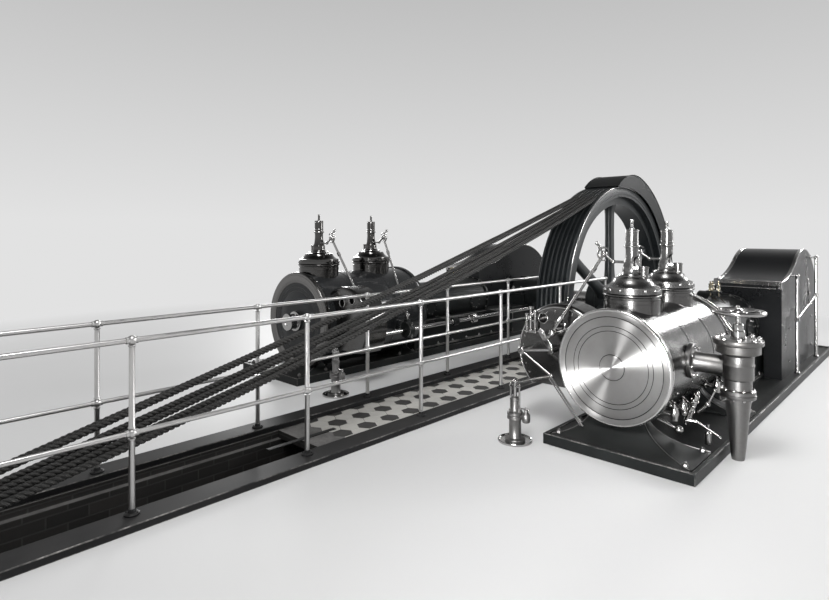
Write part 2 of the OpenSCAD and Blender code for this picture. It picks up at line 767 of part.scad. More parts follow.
// Steam stop valve with the branch to the cylinder
module stop_valve() {
    flange_r = 160;
    body_r = 100;
    top = floor_h + stop_top;
    low = floor_h + stop_low;
    lag_r = hp_cover_r - lag_step;
    color("slategray") difference() {
        union() {
            translate([stop_x, stop_y, 0]) {
                translate([0, 0, floor_h]) cylinder(r1 = 42, r2 = 85, h = low - floor_h);
                translate([0, 0, low - 30]) cylinder(r = 112, h = 56);
                translate([0, 0, low + 20]) cylinder(r = body_r - 12, h = 90);
                translate([0, 0, low + 105]) cylinder(r = body_r, h = top - low - 105);
                translate([0, 0, top - 95]) cylinder(r = flange_r - 18, h = 70);
                translate([0, 0, top - 35]) cylinder(r = flange_r, h = 35);
                translate([0, 0, top]) cylinder(r = 46, h = 60);
                translate([0, 0, top + 60]) cylinder(r = 34, h = 55);
            }
            translate([0, stop_y, shaft_z + 45]) {
                bar_x(62, hp_dist, stop_x);
                bar_x(112, hp_dist + lag_r - 10, hp_dist + lag_r + 34);
            }
        }
        translate([hp_dist, 0, shaft_z]) bar_y(lag_r + seat_gap, stop_y - 200, stop_y + 200);
        block(hp_dist - 200, hp_dist + 300, stop_y - 120, stop_y + 120, shaft_z - 100, shaft_z + 200);
        translate([stop_x, stop_y, top + 20]) cylinder(r = 16 + run_gap, h = 200);
    }
}

module handwheel() {
    wheel_or = 175;
    spoke_n = 5;
    color("silver") translate([stop_x, stop_y, floor_h]) {
        translate([0, 0, stop_wheel_h]) rotate_extrude() translate([wheel_or - 12, 0]) circle(r = 12);
        translate([0, 0, stop_wheel_h - 22]) cylinder(r = 30, h = 44);
        for (i = [0 : spoke_n - 1]) rotate([0, 0, i * 360 / spoke_n])
            translate([0, 0, stop_wheel_h]) bar_x(8, 25, wheel_or - 12);
        translate([0, 0, stop_top + 20.5]) cylinder(r = 16, h = stop_wheel_h - stop_top - 20);
        translate([0, 0, stop_wheel_h]) cylinder(r = 12, h = 45);
    }
}

// Drain cocks and relief valve low on the cylinder's outer side
module drain_cocks() {
    lag_r = hp_cover_r - lag_step;
    drop = 290;
    reach = sqrt(lag_r * lag_r - drop * drop);
    places = [hp_valve_set * 0.46, hp_valve_set * 0.94, hp_valve_set + hp_valve_gap * 1.05];
    color("silver") for (y = places - [1, 1, 1] * hp_cover_dist) difference() {
        translate([hp_dist, y, shaft_z - drop]) {
            bar_x(18, reach - 40, reach + 90);
            translate([reach + 90, 0, -45]) cylinder(r = 26, h = 90);
            translate([reach + 90, 0, 45]) cylinder(r = 10, h = 40);
            translate([0, 0, 78]) strut([reach + 90, 0, 0], [reach + 180, -60, -40], 7);
        }
        translate([hp_dist, 0, shaft_z]) bar_y(lag_r + seat_gap, y - 100, y + 100, $fn = 256);
    }
}

// Two posts with a short bar beside the hood
module hood_rail() {
    x = hp_dist + hood_out + hood_rail_out;
    a = [x, hood_post_a, plate_top];
    b = [x, hood_post_b, plate_top];
    ha = hood_post_a_h - plate_t;
    hb = hood_post_b_h - plate_t;
    color("silver") {
        translate(a) cylinder(r = post_r, h = ha);
        translate(b) cylinder(r = post_r, h = hb);
        translate(a + [0, 0, ha]) sphere(r = 24);
        translate(b + [0, 0, hb]) sphere(r = 24);
        strut(a + [0, 0, ha * 0.55], b + [0, 0, hb * 0.62], 10);
    }
}

// Small pump on its own round foot
module pump_stand(x, y) {
    color("silver") translate([x, y, floor_h]) {
        cylinder(r = 130, h = 14);
        cylinder(r = 62, h = 60);
        cylinder(r = 40, h = 330);
        translate([0, 0, 200]) cylinder(r = 58, h = 30);
        translate([0, 0, 240]) bar_x(20, 0, 95);
        translate([95, 0, 240]) sphere(r = 30);
        for (s = [-1, 1]) translate([s * 32, 0, 230]) cylinder(r = 9, h = 230);
        translate([0, 0, 330]) cylinder(r = 22, h = 110);
        block(-48, 48, -14, 14, 440, 465);
    }
}

module tail_gland() {
    color("dimgray") translate([0, -lp_cover_dist, shaft_z]) {
        bar_y(110, -30, 0);
        bar_y(80, -110, 0);
        bar_y(95, -130, -100);
    }
}

// Crankshaft with a disc crank at each end, a quarter turn apart
module crank_end(angle) {
    translate([0, 0, shaft_z]) rotate([angle, 0, 0]) {
        bar_x(crank_disc_r, crank_in, crank_in + crank_disc_t);
        translate([0, 0, crank_throw]) bar_x(crank_pin_r, crank_in, crank_in + crank_disc_t + crank_pin_len);
    }
}
module crankshaft() {
    seat_r = shaft_r + 25;
    shaft_root = 20;
    color("silver") {
        translate([0, 0, shaft_z])
            bar_x(shaft_r, -lp_dist - crank_in - shaft_root, hp_dist + crank_in + shaft_root);
        translate([0, 0, shaft_z]) bar_x(seat_r, -hub_len / 2, hub_len / 2);
        at_hp() crank_end(hp_crank_a);
        at_lp() crank_end(lp_crank_a);
    }
}

// Section of a grooved rim, drawn with its radius along x
module grooved_section(r, depth, width, rope_r_at) {
    edge = (rope_count - 1) / 2 * rope_pitch;
    difference() {
        translate([r - depth, -width / 2]) square([depth, width]);
        for (i = [0 : rope_count - 1]) translate([rope_r_at, i * rope_pitch - edge]) {
            circle(r = groove_r);
            translate([0, -groove_r]) square([depth, 2 * groove_r]);
        }
        for (s = [-1, 1]) translate([r - depth - 1, s * (width / 2 + 60 - 100) - 60])
            square([depth * 0.42, 120]);
    }
}

module flywheel() {
    web_t = 80;
    color("dimgray") translate([0, 0, shaft_z]) {
        rotate([0, 90, 0]) rotate_extrude($fn = 128)
            grooved_section(wheel_r, rim_depth, wheel_w, wheel_rope_r);
        difference() {
            union() {
                bar_x(hub_r, -hub_len / 2, hub_len / 2);
                for (i = [0 : arm_count - 1]) rotate([i * 360 / arm_count, 0, 0])
                    translate([0, 0, hub_r - 60])
                        linear_extrude(height = wheel_r - rim_depth - hub_r + 62) arm_section();
            }
            bar_x(shaft_r + 25 + run_gap, -hub_len, hub_len);
        }
    }
}
module arm_section() {
    square([arm_t, arm_b - arm_t], center = true);
    for (s = [-1, 1]) translate([0, s * (arm_b - arm_t) / 2]) circle(r = arm_t / 2);
}

// Sheet guard round the back of the wheel, from its top to the floor
module wheel_guard() {
    outer = wheel_r + guard_gap + sheet_t;
    inner = wheel_r - 20;
    half = wheel_w / 2 + 34;
    low = -asin(shaft_h / outer);
    foot_y = outer * cos(low);
    color("black") {
        difference() {
            translate([0, 0, shaft_z]) rotate([90, 0, 90]) rotate([0, 0, low - 2])
                rotate_extrude(angle = 97 - low, $fn = 256) {
                    translate([outer - sheet_t, -half]) square([sheet_t, 2 * half]);
                    for (s = [-1, 1]) translate([inner, s * half - (s > 0 ? sheet_t : 0)])
                        square([outer - inner, sheet_t]);
                }
            block(-half - 1, half + 1, 0, outer + 100, 0, floor_h);
        }
        block(-half, half, foot_y - 1, foot_y + 70, floor_h, floor_h + sheet_t);
    }
}

// Rope route: centre of the sagging upper run, and where it meets wheel and sheave
wheel_c = [0, shaft_z];
sheave_c = [-sheave_dist, sheave_z];
span = wheel_c - sheave_c;
span_len = norm(span);
to_wheel = sag_r + wheel_rope_r;
to_sheave = sag_r + sheave_rope_r;
along = (to_sheave * to_sheave - to_wheel * to_wheel + span_len * span_len) / (2 * span_len);
off_line = sqrt(to_sheave * to_sheave - along * along);
unit = span / span_len;
sag_c = sheave_c + along * unit + off_line * [-unit.y, unit.x];
function bearing_of(v) = atan2(v.y, v.x);
top_wheel_a = bearing_of(sag_c - wheel_c);
top_sheave_a = bearing_of(sag_c - sheave_c);
low_a = bearing_of(span) - 90 + asin((sheave_rope_r - wheel_rope_r) / span_len);

// Places on the route as [point, outward normal], round the wheel and back. On the wheel and
// the sheave the places lie a little outside, so that the middle of each chord lies on the arc.
function arc_place(c, r, a, turn) = [c + r * [cos(a), sin(a)], turn * [cos(a), sin(a)]];
function chord_r(r, angle, steps) = r / cos(angle / steps / 2);
wheel_steps = 56;
sag_steps = 16;
sheave_steps = 16;
wheel_turn = top_wheel_a - low_a;
sheave_turn = low_a + 360 - top_sheave_a;
route = concat(
    [for (i = [0 : wheel_steps])
        arc_place(wheel_c, chord_r(wheel_rope_r, wheel_turn, wheel_steps),
            low_a + wheel_turn * i / wheel_steps, 1)],
    [for (i = [1 : sag_steps - 1])
        arc_place(sag_c, sag_r,
            180 + top_wheel_a + (top_sheave_a - top_wheel_a) * i / sag_steps, -1)],
    [for (i = [0 : sheave_steps])
        arc_place(sheave_c, chord_r(sheave_rope_r, sheave_turn, sheave_steps),
            top_sheave_a + sheave_turn * i / sheave_steps, 1)]);
rope_sides = 8;
module rope_loop() {
    rings = len(route);
    points = [for (p = route, j = [0 : rope_sides - 1])
        let (a = (j + 0.5) * 360 / rope_sides, out = rope_r * cos(a), side = rope_r * sin(a))
            [side, p[0].x + out * p[1].x, p[0].y + out * p[1].y]];
    faces = [for (i = [0 : rings - 1], j = [0 : rope_sides - 1])
        let (n = (i + 1) % rings, k = (j + 1) % rope_sides)
            [i * rope_sides + j, i * rope_sides + k, n * rope_sides + k, n * rope_sides + j]];
    polyhedron(points = points, faces = faces);
}
module ropes() {
    color("tan") for (i = [0 : rope_count - 1])
        translate([(i - (rope_count - 1) / 2) * rope_pitch, 0, 0]) rope_loop();
}

module driven_sheave() {
    axle_r = 50;
    color("dimgray") translate([0, -sheave_dist, sheave_z]) {
        rotate([0, 90, 0]) rotate_extrude()
            grooved_section(sheave_r, 120, sheave_w, sheave_rope_r);
        bar_x(110, -sheave_w / 2, sheave_w / 2);
        for (i = [0 : 5]) rotate([i * 60, 0, 0]) translate([0, 0, 90])
            linear_extrude(height = sheave_r - 120 - 88) square([60, 90], center = true);
        bar_x(axle_r, -race_hw + 5, race_hw - 5);
    }
}

module sheave_bearings() {
    housing_t = 48;
    color("darkslategray") for (s = [-1, 1]) difference() {
        translate([s > 0 ? race_hw - housing_t : -race_hw, -sheave_dist, sheave_z])
            bar_x(115, 0, housing_t);
        translate([0, -sheave_dist, sheave_z]) bar_x(50 + run_gap, -race_hw + 4, race_hw - 4);
    }
}

// Height of the rockers, in the windows of the bonnets on lagging of radius r
function window_z(r) = shaft_z + r + drum_rise + dome_h + window_at + window_h / 4;

// High-pressure engine, on the near side
hp_front = -hp_cover_dist;
hp_lag_r = hp_cover_r - lag_step;
hp_rear = hp_front + cover_t + hp_cyl_len;
module bed_plate_near() { at_hp() bed_plate(hp_front, hp_plate_lead, hp_cover_r, hp_cyl_len); }
module cylinder_foot_near() {
    at_hp() cylinder_foot(hp_front, hp_plate_lead, hp_cover_r, hp_cyl_len, hp_valve_set, hp_valve_gap);
}
module cylinder_near() {
    at_hp() cylinder_body(hp_front, hp_cyl_len, hp_lag_r, hp_drum_r, hp_valve_set, hp_valve_gap);
}
module cover_near() { at_hp() cover(hp_front, hp_cover_r); }
module bonnets_near() { at_hp() bonnets(hp_front, hp_lag_r, hp_drum_r, hp_valve_set, hp_valve_gap); }
module bed_frame_near() { at_hp() bed_frame(hp_rear); }
module guide_near() { at_hp() guide(hp_rear); }
module main_bearing_near() { at_hp() main_bearing(); }
module crank_hood_near() { at_hp() crank_hood(); }
module side_shaft_near() { at_hp() side_shaft(hp_side_shaft, hp_front, hp_rear); }
module side_shaft_bearings_near() { at_hp() side_shaft_bearings(hp_side_shaft, hp_lag_r, hp_rear, []); }
module valve_gear_case_near() { at_hp() valve_gear_case(hp_side_shaft, hp_front, hp_lag_r); }
module valve_rods_near() { at_hp() hp_valve_rods(window_z(hp_lag_r)); }
module lubricator_near() { at_hp() lubricator(); }

// Low-pressure engine, on the far side
lp_front = -lp_cover_dist;
lp_lag_r = lp_cover_r - lag_step;
lp_rear = lp_front + cover_t + lp_cyl_len;
lp_straps = [lp_front + case_front_set + case_len + strap_behind, lp_front + lp_valve_set + lp_valve_gap];
module bed_plate_far() { at_lp() bed_plate(lp_front, lp_plate_lead, lp_cover_r, lp_cyl_len); }
module cylinder_foot_far() {
    at_lp() cylinder_foot(lp_front, lp_plate_lead, lp_cover_r, lp_cyl_len, lp_valve_set, lp_valve_gap);
}
module cylinder_far() {
    at_lp() cylinder_body(lp_front, lp_cyl_len, lp_lag_r, lp_drum_r, lp_valve_set, lp_valve_gap);
}
module cover_far() { at_lp() cover(lp_front, lp_cover_r); }
module bonnets_far() { at_lp() bonnets(lp_front, lp_lag_r, lp_drum_r, lp_valve_set, lp_valve_gap); }
module bed_frame_far() { at_lp() bed_frame(lp_rear); }
module guide_far() { at_lp() guide(lp_rear); }
module main_bearing_far() { at_lp() main_bearing(); }
module crank_hood_far() { at_lp() crank_hood(); }
module side_shaft_far() { at_lp() side_shaft(lp_side_shaft, lp_front, lp_rear); }
module side_shaft_bearings_far() {
    at_lp() side_shaft_bearings(lp_side_shaft, lp_lag_r, lp_rear, lp_straps);
}
module valve_gear_case_far() { at_lp() valve_gear_case(lp_side_shaft, lp_front, lp_lag_r); }
module valve_rods_far() { at_lp() lp_valve_rods(window_z(lp_lag_r)); }
module lubricator_far() { at_lp() lubricator(); }

foundation();
race_kerb(1);  // race_kerb_near
race_kerb(-1);  // race_kerb_far
race_cover();
railing(1);  // railing_near
railing(-1);  // railing_far
bed_plate_near();
cylinder_foot_near();
cylinder_near();
cover_near();
bonnets_near();
bed_frame_near();
guide_near();
main_bearing_near();
crank_hood_near();
side_shaft_near();
side_shaft_bearings_near();
valve_gear_case_near();
valve_rods_near();
lubricator_near();
bed_plate_far();
cylinder_foot_far();
cylinder_far();
cover_far();
bonnets_far();
bed_frame_far();
guide_far();
main_bearing_far();
crank_hood_far();
side_shaft_far();
side_shaft_bearings_far();
valve_gear_case_far();
valve_rods_far();
lubricator_far();
stop_valve();
handwheel();
drain_cocks();
hood_rail();
pump_stand(pump_x, pump_y);  // pump_stand_near
pump_stand(lp_pump_x, lp_pump_y);  // pump_stand_far
at_lp() tail_gland();
crankshaft();
flywheel();
wheel_guard();
ropes();
driven_sheave();
sheave_bearings();
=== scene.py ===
"""Looks of a horizontal cross-compound steam engine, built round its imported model.

Lengths are metres in the model's own frame: X runs along the crankshaft towards the
high-pressure engine, Y along the engine axes and Z up from the underside of the foundation.
"""

import json
import logging
import math
from dataclasses import dataclass
from enum import Enum
from typing import Any, Optional, Sequence

import bmesh
import bpy
import numpy as np
from numpy.typing import NDArray
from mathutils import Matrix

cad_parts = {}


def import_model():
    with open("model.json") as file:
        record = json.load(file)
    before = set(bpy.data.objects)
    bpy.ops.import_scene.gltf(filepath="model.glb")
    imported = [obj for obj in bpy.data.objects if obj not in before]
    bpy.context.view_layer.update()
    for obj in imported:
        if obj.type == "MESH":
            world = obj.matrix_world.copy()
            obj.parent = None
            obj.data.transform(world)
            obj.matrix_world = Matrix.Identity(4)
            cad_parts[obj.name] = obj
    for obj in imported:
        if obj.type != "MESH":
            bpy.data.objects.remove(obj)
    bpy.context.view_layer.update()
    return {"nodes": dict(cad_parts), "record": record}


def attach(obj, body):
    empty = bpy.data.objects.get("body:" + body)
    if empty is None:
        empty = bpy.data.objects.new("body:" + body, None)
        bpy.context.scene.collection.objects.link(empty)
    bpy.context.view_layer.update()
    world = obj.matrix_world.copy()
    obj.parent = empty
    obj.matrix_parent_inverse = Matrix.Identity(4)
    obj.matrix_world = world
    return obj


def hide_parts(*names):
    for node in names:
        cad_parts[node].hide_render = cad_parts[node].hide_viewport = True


Array = NDArray[np.float64]
Point = Sequence[float]
Colour = tuple[float, float, float, float]
LOG = logging.getLogger("engine")

# Heights of the floor, of the tops of bed plates and frames, and of the engines' axes
FLOOR_Z, PLATE_Z, FRAME_Z, SHAFT_Z = 1.30, 1.36, 1.75, 1.90
# How far the side shafts lie below the engines' axes, and the drums' tops above the lagging
SHAFT_DROP, DRUM_RISE = 0.16, 0.11
# Where the eccentric straps stand on the far side shaft
STRAPS = (-3.72, -3.13)
# Spacing of the ropes and of their grooves, and the length of one turn of a rope's strands
ROPE_PITCH, ROPE_TURN = 0.064, 0.105
# Places and radius of the eye holes in the valve gear cases, from the middle of the case
EYE_HOLES, EYE_R = ((-0.149, 0.271), (0.008, 0.231)), 0.043
# The two ends of the cover over the rope race
COVER_FROM, COVER_TO = -5.39, -1.75
# Angle of a casting's faces that are made one, of edges that stay sharp, and of edges that are rounded
FLAT_DEG, SHARP_DEG, ROUND_DEG = 0.6, 34.0, 50.0
# Distance within which a casting's points are joined
JOIN = 2e-5
# Brightness of the backdrop
BACKDROP = 0.76


class Axis(Enum):
    """A direction of the frame, with the two directions across it."""

    X = ((1, 0, 0), (0, 1, 0), (0, 0, 1))
    Y = ((0, 1, 0), (0, 0, 1), (1, 0, 0))
    Z = ((0, 0, 1), (1, 0, 0), (0, 1, 0))

    def frame(self) -> tuple[Array, Array, Array]:
        """Returns the direction along and the two across, as arrays."""
        along, side, up = (np.array(v, float) for v in self.value)
        return along, side, up


def unit(v: Array) -> Array:
    """Vectors of the same direction and of length 1."""
    return v / np.linalg.norm(v, axis=-1, keepdims=True)


def arc(centre: Point, radius: float, start: float, end: float, steps: int) -> list[tuple[float, float]]:
    """Points of a round stretch of an outline.

    Args:
        centre: The middle of the arc in the outline's plane.
        radius: Its radius.
        start: The angle of its first point in degrees.
        end: The angle of its last point in degrees.
        steps: How many chords it has.

    Returns:
        The points: centre plus radius times cosine and sine of the angle.
    """
    a = np.radians(np.linspace(start, end, steps + 1))
    return [(centre[0] + radius * c, centre[1] + radius * s) for c, s in zip(np.cos(a), np.sin(a))]


def ring(radius: float, steps: int = 24, start: float = 0.0) -> Array:
    """A circle as an outline: radius times cosine and sine of equal angles."""
    a = start + np.linspace(0, 2 * math.pi, steps, endpoint=False)
    return radius * np.stack([np.cos(a), np.sin(a)], axis=-1)


def rounded_box(width: float, height: float, corner: float, steps: int = 3) -> Array:
    """A rectangle with round corners as an outline.

    Args:
        width: Its size along the first axis.
        height: Its size along the second axis.
        corner: The radius of its corners.
        steps: The chords of each corner.

    Returns:
        Its points, with a quarter circle at each corner.
    """
    a, b = width / 2 - corner, height / 2 - corner
    points: list[tuple[float, float]] = []
    for i, (sx, sy) in enumerate(((1, 1), (-1, 1), (-1, -1), (1, -1))):
        points += arc((sx * a, sy * b), corner, 90 * i, 90 * (i + 1), steps)
    return np.array(points)


def round_places(centre: Point, radius: float, count: int, axis: Axis, start: float = 0.0) -> Array:
    """Equally spaced places on a circle: its centre plus the radius times each angle's direction."""
    side, up = axis.frame()[1:]
    turns = ring(radius, count, start)
    return np.array(centre, float) + turns[:, :1] * side + turns[:, 1:] * up


class Shells:
    """Closed shells of one piece, gathered as arrays of points and four-cornered faces."""

    def __init__(self) -> None:
        """Starts with no shell."""
        self.points: list[Array] = []
        self.faces: list[NDArray[np.int64]] = []
        self.uvs: list[Array] = []
        self.count = 0

    def grid(
        self, surface: Array, loop: bool = False, uv: Optional[Array] = None, period: Point = (0.0, 0.0)
    ) -> "Shells":
        """Adds a closed shell given as rows of rings, or several copies of it.

        Each face joins two neighbours of a ring with the same two of the next ring. Points that
        fall together, as at a pole, become one, and a shell whose volume comes out negative is
        turned round so that its faces point outwards.

        Args:
            surface: Points as (rows, ring, 3), or (copies, rows, ring, 3).
            loop: Whether the last row joins the first, as on a torus.
            uv: A place on the surface for each point of one copy, as (rows, ring, 2).
            period: How far the place has moved on where the last row or the ring's end meets its start.

        Returns:
            This object, so that calls can follow each other.
        """
        many = surface if surface.ndim == 4 else surface[None]
        copies, rows, cols = many.shape[:3]
        i = np.arange(rows if loop else rows - 1)[:, None]
        j = np.arange(cols)[None, :]
        below, above, on = i * cols, ((i + 1) % rows) * cols, (j + 1) % cols
        quads = np.stack([below + j, below + on, above + on, above + j], -1).reshape(-1, 4)
        last_row, last_col = (i == rows - 1) + 0 * j, (j == cols - 1) + 0 * i
        turns = np.stack([last_row * np.array([0, 0, 1, 1])[:, None, None],
                          last_col * np.array([0, 1, 1, 0])[:, None, None]], -1)
        moved = (turns * np.array(period, float)).transpose(1, 2, 0, 3).reshape(-1, 4, 2)
        corner = many[0].reshape(-1, 3)[quads]
        corner = corner - corner.mean((0, 1))
        first = np.cross(corner[:, 1], corner[:, 2])
        second = np.cross(corner[:, 2], corner[:, 3])
        if (corner[:, 0] * (first + second)).sum() < 0:
            quads, moved = quads[:, ::-1], moved[:, ::-1]
        flat = many.reshape(-1, 3)
        copy_of = np.repeat(np.arange(copies), rows * cols)
        keys = np.c_[copy_of, np.round(flat * 1e6).astype(np.int64)]
        kept, inverse = np.unique(keys, axis=0, return_index=True, return_inverse=True)[1:]
        inverse = inverse.reshape(-1)
        every = (quads[None] + (np.arange(copies) * rows * cols)[:, None, None]).reshape(-1, 4)
        self.points.append(flat[kept])
        self.faces.append(inverse[every] + self.count)
        corner_uv = np.zeros((len(every), 4, 2))
        if uv is not None:
            corner_uv = uv.reshape(-1, 2)[every % (rows * cols)] + np.tile(moved, (copies, 1, 1))
        self.uvs.append(corner_uv)
        self.count += len(kept)
        return self

    def lathe(self, profile: Sequence[Point], centre: Point, axis: Axis, steps: int = 48) -> "Shells":
        """Turns an outline round an axis.

        A point lies at the centre, plus its height along the axis, plus its radius times cosine
        and sine of the angle across the axis.

        Args:
            profile: Points as (radius, height along the axis), from one end to the other.
            centre: Where height 0 lies on the axis.
            axis: The direction of the axis.
            steps: The points of a ring.

        Returns:
            This object.
        """
        outline = np.array(profile, float)
        if outline[0, 0] > 0:
            outline = np.vstack([[0, outline[0, 1]], outline])
        if outline[-1, 0] > 0:
            outline = np.vstack([outline, [0, outline[-1, 1]]])
        return self.grid(turned(outline, centre, axis, steps))

    def prism(
        self, outline: Array, centre: Point, axis: Axis, length: float, edge: float = 0.0
    ) -> "Shells":
        """Carries an outline straight along an axis, with its rims drawn in by a small edge.

        Args:
            outline: Points across the axis, round its middle.
            centre: The middle of the first face.
            axis: The direction of the axis.
            length: How far the outline is carried.
            edge: The breadth of the bevel at both rims.

        Returns:
            This object.
        """
        along, side, up = axis.frame()
        inner = 1 - edge / np.abs(outline).max(0)
        heights = np.array([0, 0, edge, length - edge, length, length])
        scales = np.array([[0, 0], inner, [1, 1], [1, 1], inner, [0, 0]])
        flat = outline[None] * scales[:, None]
        at = np.array(centre, float) + heights[:, None, None] * along
        return self.grid(at + flat[..., :1] * side + flat[..., 1:] * up)

    def sweep(
        self, path: Array, outline: Array, across: Point, scale: Optional[Array] = None, loop: bool = False
    ) -> "Shells":
        """Carries an outline along a path.

        At each place of the path the outline's second axis lies along the direction `across`, made
        square to the path, and its first axis is square to both.

        Args:
            path: Points as (places, 3).
            outline: Points across the path, round its middle.
            across: A direction that is never along the path.
            scale: How large the outline is at each place, or None for 1.
            loop: Whether the path is closed.

        Returns:
            This object.
        """
        return self.grid(swept(path, outline, across, scale, loop), loop)

    def tube(
        self, path: Array, radius: float, across: Point, steps: int = 12, loop: bool = False
    ) -> "Shells":
        """A round bar along a path: a circle of that radius is carried along it."""
        return self.sweep(path, ring(radius, steps), across, None, loop)

    def rod(self, start: Point, end: Point, radius: float, steps: int = 16) -> "Shells":
        """A straight round bar with softly rounded rims between two points."""
        a, b = np.array(start, float), np.array(end, float)
        soft = min(radius * 0.3, 0.003)
        length = np.linalg.norm(b - a)
        share = np.array([0, soft, length - soft, length]) / length
        path = a + share[:, None] * (b - a)
        across = (0, 0, 1) if abs((b - a)[2]) < 0.9 * length else (1, 0, 0)
        scale = np.array([1 - soft / radius, 1, 1, 1 - soft / radius])
        return self.sweep(path, ring(radius, steps), across, scale)

    def ball(self, centre: Point, radius: float, steps: int = 20) -> "Shells":
        """A ball: a half circle turned round the upright axis."""
        return self.lathe(arc((0, 0), radius, -90, 90, steps // 2), centre, Axis.Z, steps)
    def upright(self, profile: Sequence[Point], place: Point, steps: int) -> "Shells":
        """Turns an outline of (radius, height) round the upright axis through a place."""
        return self.lathe(profile, (place[0], place[1], 0), Axis.Z, steps)

    def hoop(
        self, centre: Point, radius: float, bead: float, axis: Axis, steps: int, sides: int = 8
    ) -> "Shells":
        """A closed bead: a circle of radius `bead` carried round a larger circle across an axis."""
        return self.tube(round_places(centre, radius, steps, axis), bead, axis.value[0], sides, True)

    def nuts(self, places: Array, axis: Axis, size: float, height: float, stud: float = 0.0) -> "Shells":
        """Hexagon nuts, each on its place, with the end of a stud standing out.

        Args:
            places: The middle of each nut's seat, as (nuts, 3).
            axis: The direction of the nuts' axes.
            size: The distance across a nut's corners.
            height: The height of a nut, negative to build against the axis.
            stud: How far the stud stands out of the nut.

        Returns:
            This object.
        """
        along, side, up = axis.frame()
        sign, tall = math.copysign(1, height), abs(height)
        seats = np.asarray(places, float)[:, None, None]
        shapes = [(ring(size / 2, 6, 0.3), [(0.0, 0.0), (1.0, 0.0), (1.0, tall * 0.82), (0.86, tall),
                                            (0.0, tall)])]
        if stud > 0:
            end = tall + stud
            shapes.append((ring(size * 0.27, 10),
                           [(0.0, 0.0), (1.0, 0.0), (1.0, tall + stud * 0.7), (0.7, end), (0.0, end)]))
        for outline, rows in shapes:
            flat = outline[:, :1] * side + outline[:, 1:] * up
            self.grid(seats + np.stack([along * sign * z + s * flat for s, z in rows])[None])
        return self

    def mesh(self, name: str, with_uv: bool = False) -> bpy.types.Mesh:
        """Makes a Blender mesh of the shells.

        Args:
            name: The mesh's name.
            with_uv: Whether the places on the surface are kept as a UV map.

        Returns:
            The mesh, shaded smooth up to a sharp angle.
        """
        points, quads = np.vstack(self.points), np.vstack(self.faces)
        uv = np.concatenate(self.uvs)
        kept = quads != np.roll(quads, -1, axis=1)
        total = kept.sum(1)
        whole = total >= 3
        kept, quads, total, uv = kept[whole], quads[whole], total[whole], uv[whole]
        loops = quads[kept]
        mesh = bpy.data.meshes.new(name)
        mesh.vertices.add(len(points))
        mesh.vertices.foreach_set("co", points.astype(np.float32).ravel())
        mesh.loops.add(len(loops))
        mesh.loops.foreach_set("vertex_index", loops.astype(np.int32))
        mesh.polygons.add(len(total))
        start = np.concatenate([[0], np.cumsum(total)[:-1]])
        mesh.polygons.foreach_set("loop_start", start.astype(np.int32))
        mesh.polygons.foreach_set("use_smooth", np.ones(len(total), bool))
        if with_uv:
            layer = mesh.uv_layers.new(name="Surface")
            layer.data.foreach_set("uv", uv[kept].astype(np.float32).ravel())
        mesh.update(calc_edges=True)
        mesh.validate()
        mesh.set_sharp_from_angle(angle=math.radians(SHARP_DEG))
        return mesh


def turned(outline: Array, centre: Point, axis: Axis, steps: int) -> Array:
    """Rings of an outline of (radius, height) turned round an axis, as (rows, ring, 3)."""
    along, side, up = axis.frame()
    circle = ring(1.0, steps)
    out = circle[:, :1] * side + circle[:, 1:] * up
    return np.array(centre, float) + outline[:, 1, None, None] * along + outline[:, 0, None, None] * out


def swept(path: Array, outline: Array, across: Point, scale: Optional[Array], loop: bool) -> Array:
    """Rings of an outline carried along a path, with the open ends closed to a point.

    The path's direction is the difference of each place's neighbours, `up` is the direction
    `across` less its share along the path, and `side` is square to both.
    """
    path = np.asarray(path, float)
    if loop:
        direction = unit(np.roll(path, -1, axis=0) - np.roll(path, 1, axis=0))
    else:
        direction = unit(np.gradient(path, axis=0))
    wanted = np.array(across, float)
    up = unit(wanted - (direction @ wanted)[:, None] * direction)
    side = np.cross(up, direction)
    size = np.ones(len(path)) if scale is None else np.asarray(scale, float)
    if not loop:
        path = np.vstack([path[:1], path, path[-1:]])
        side, up = np.vstack([side[:1], side, side[-1:]]), np.vstack([up[:1], up, up[-1:]])
        size = np.concatenate([[0.0], size, [0.0]])
    if outline.ndim == 2:
        outline = np.broadcast_to(outline, (len(path),) + outline.shape)
    elif not loop:
        outline = np.concatenate([outline[:1], outline, outline[-1:]])
    flat = outline * size[:, None, None]
    return path[:, None] + flat[..., :1] * side[:, None] + flat[..., 1:] * up[:, None]


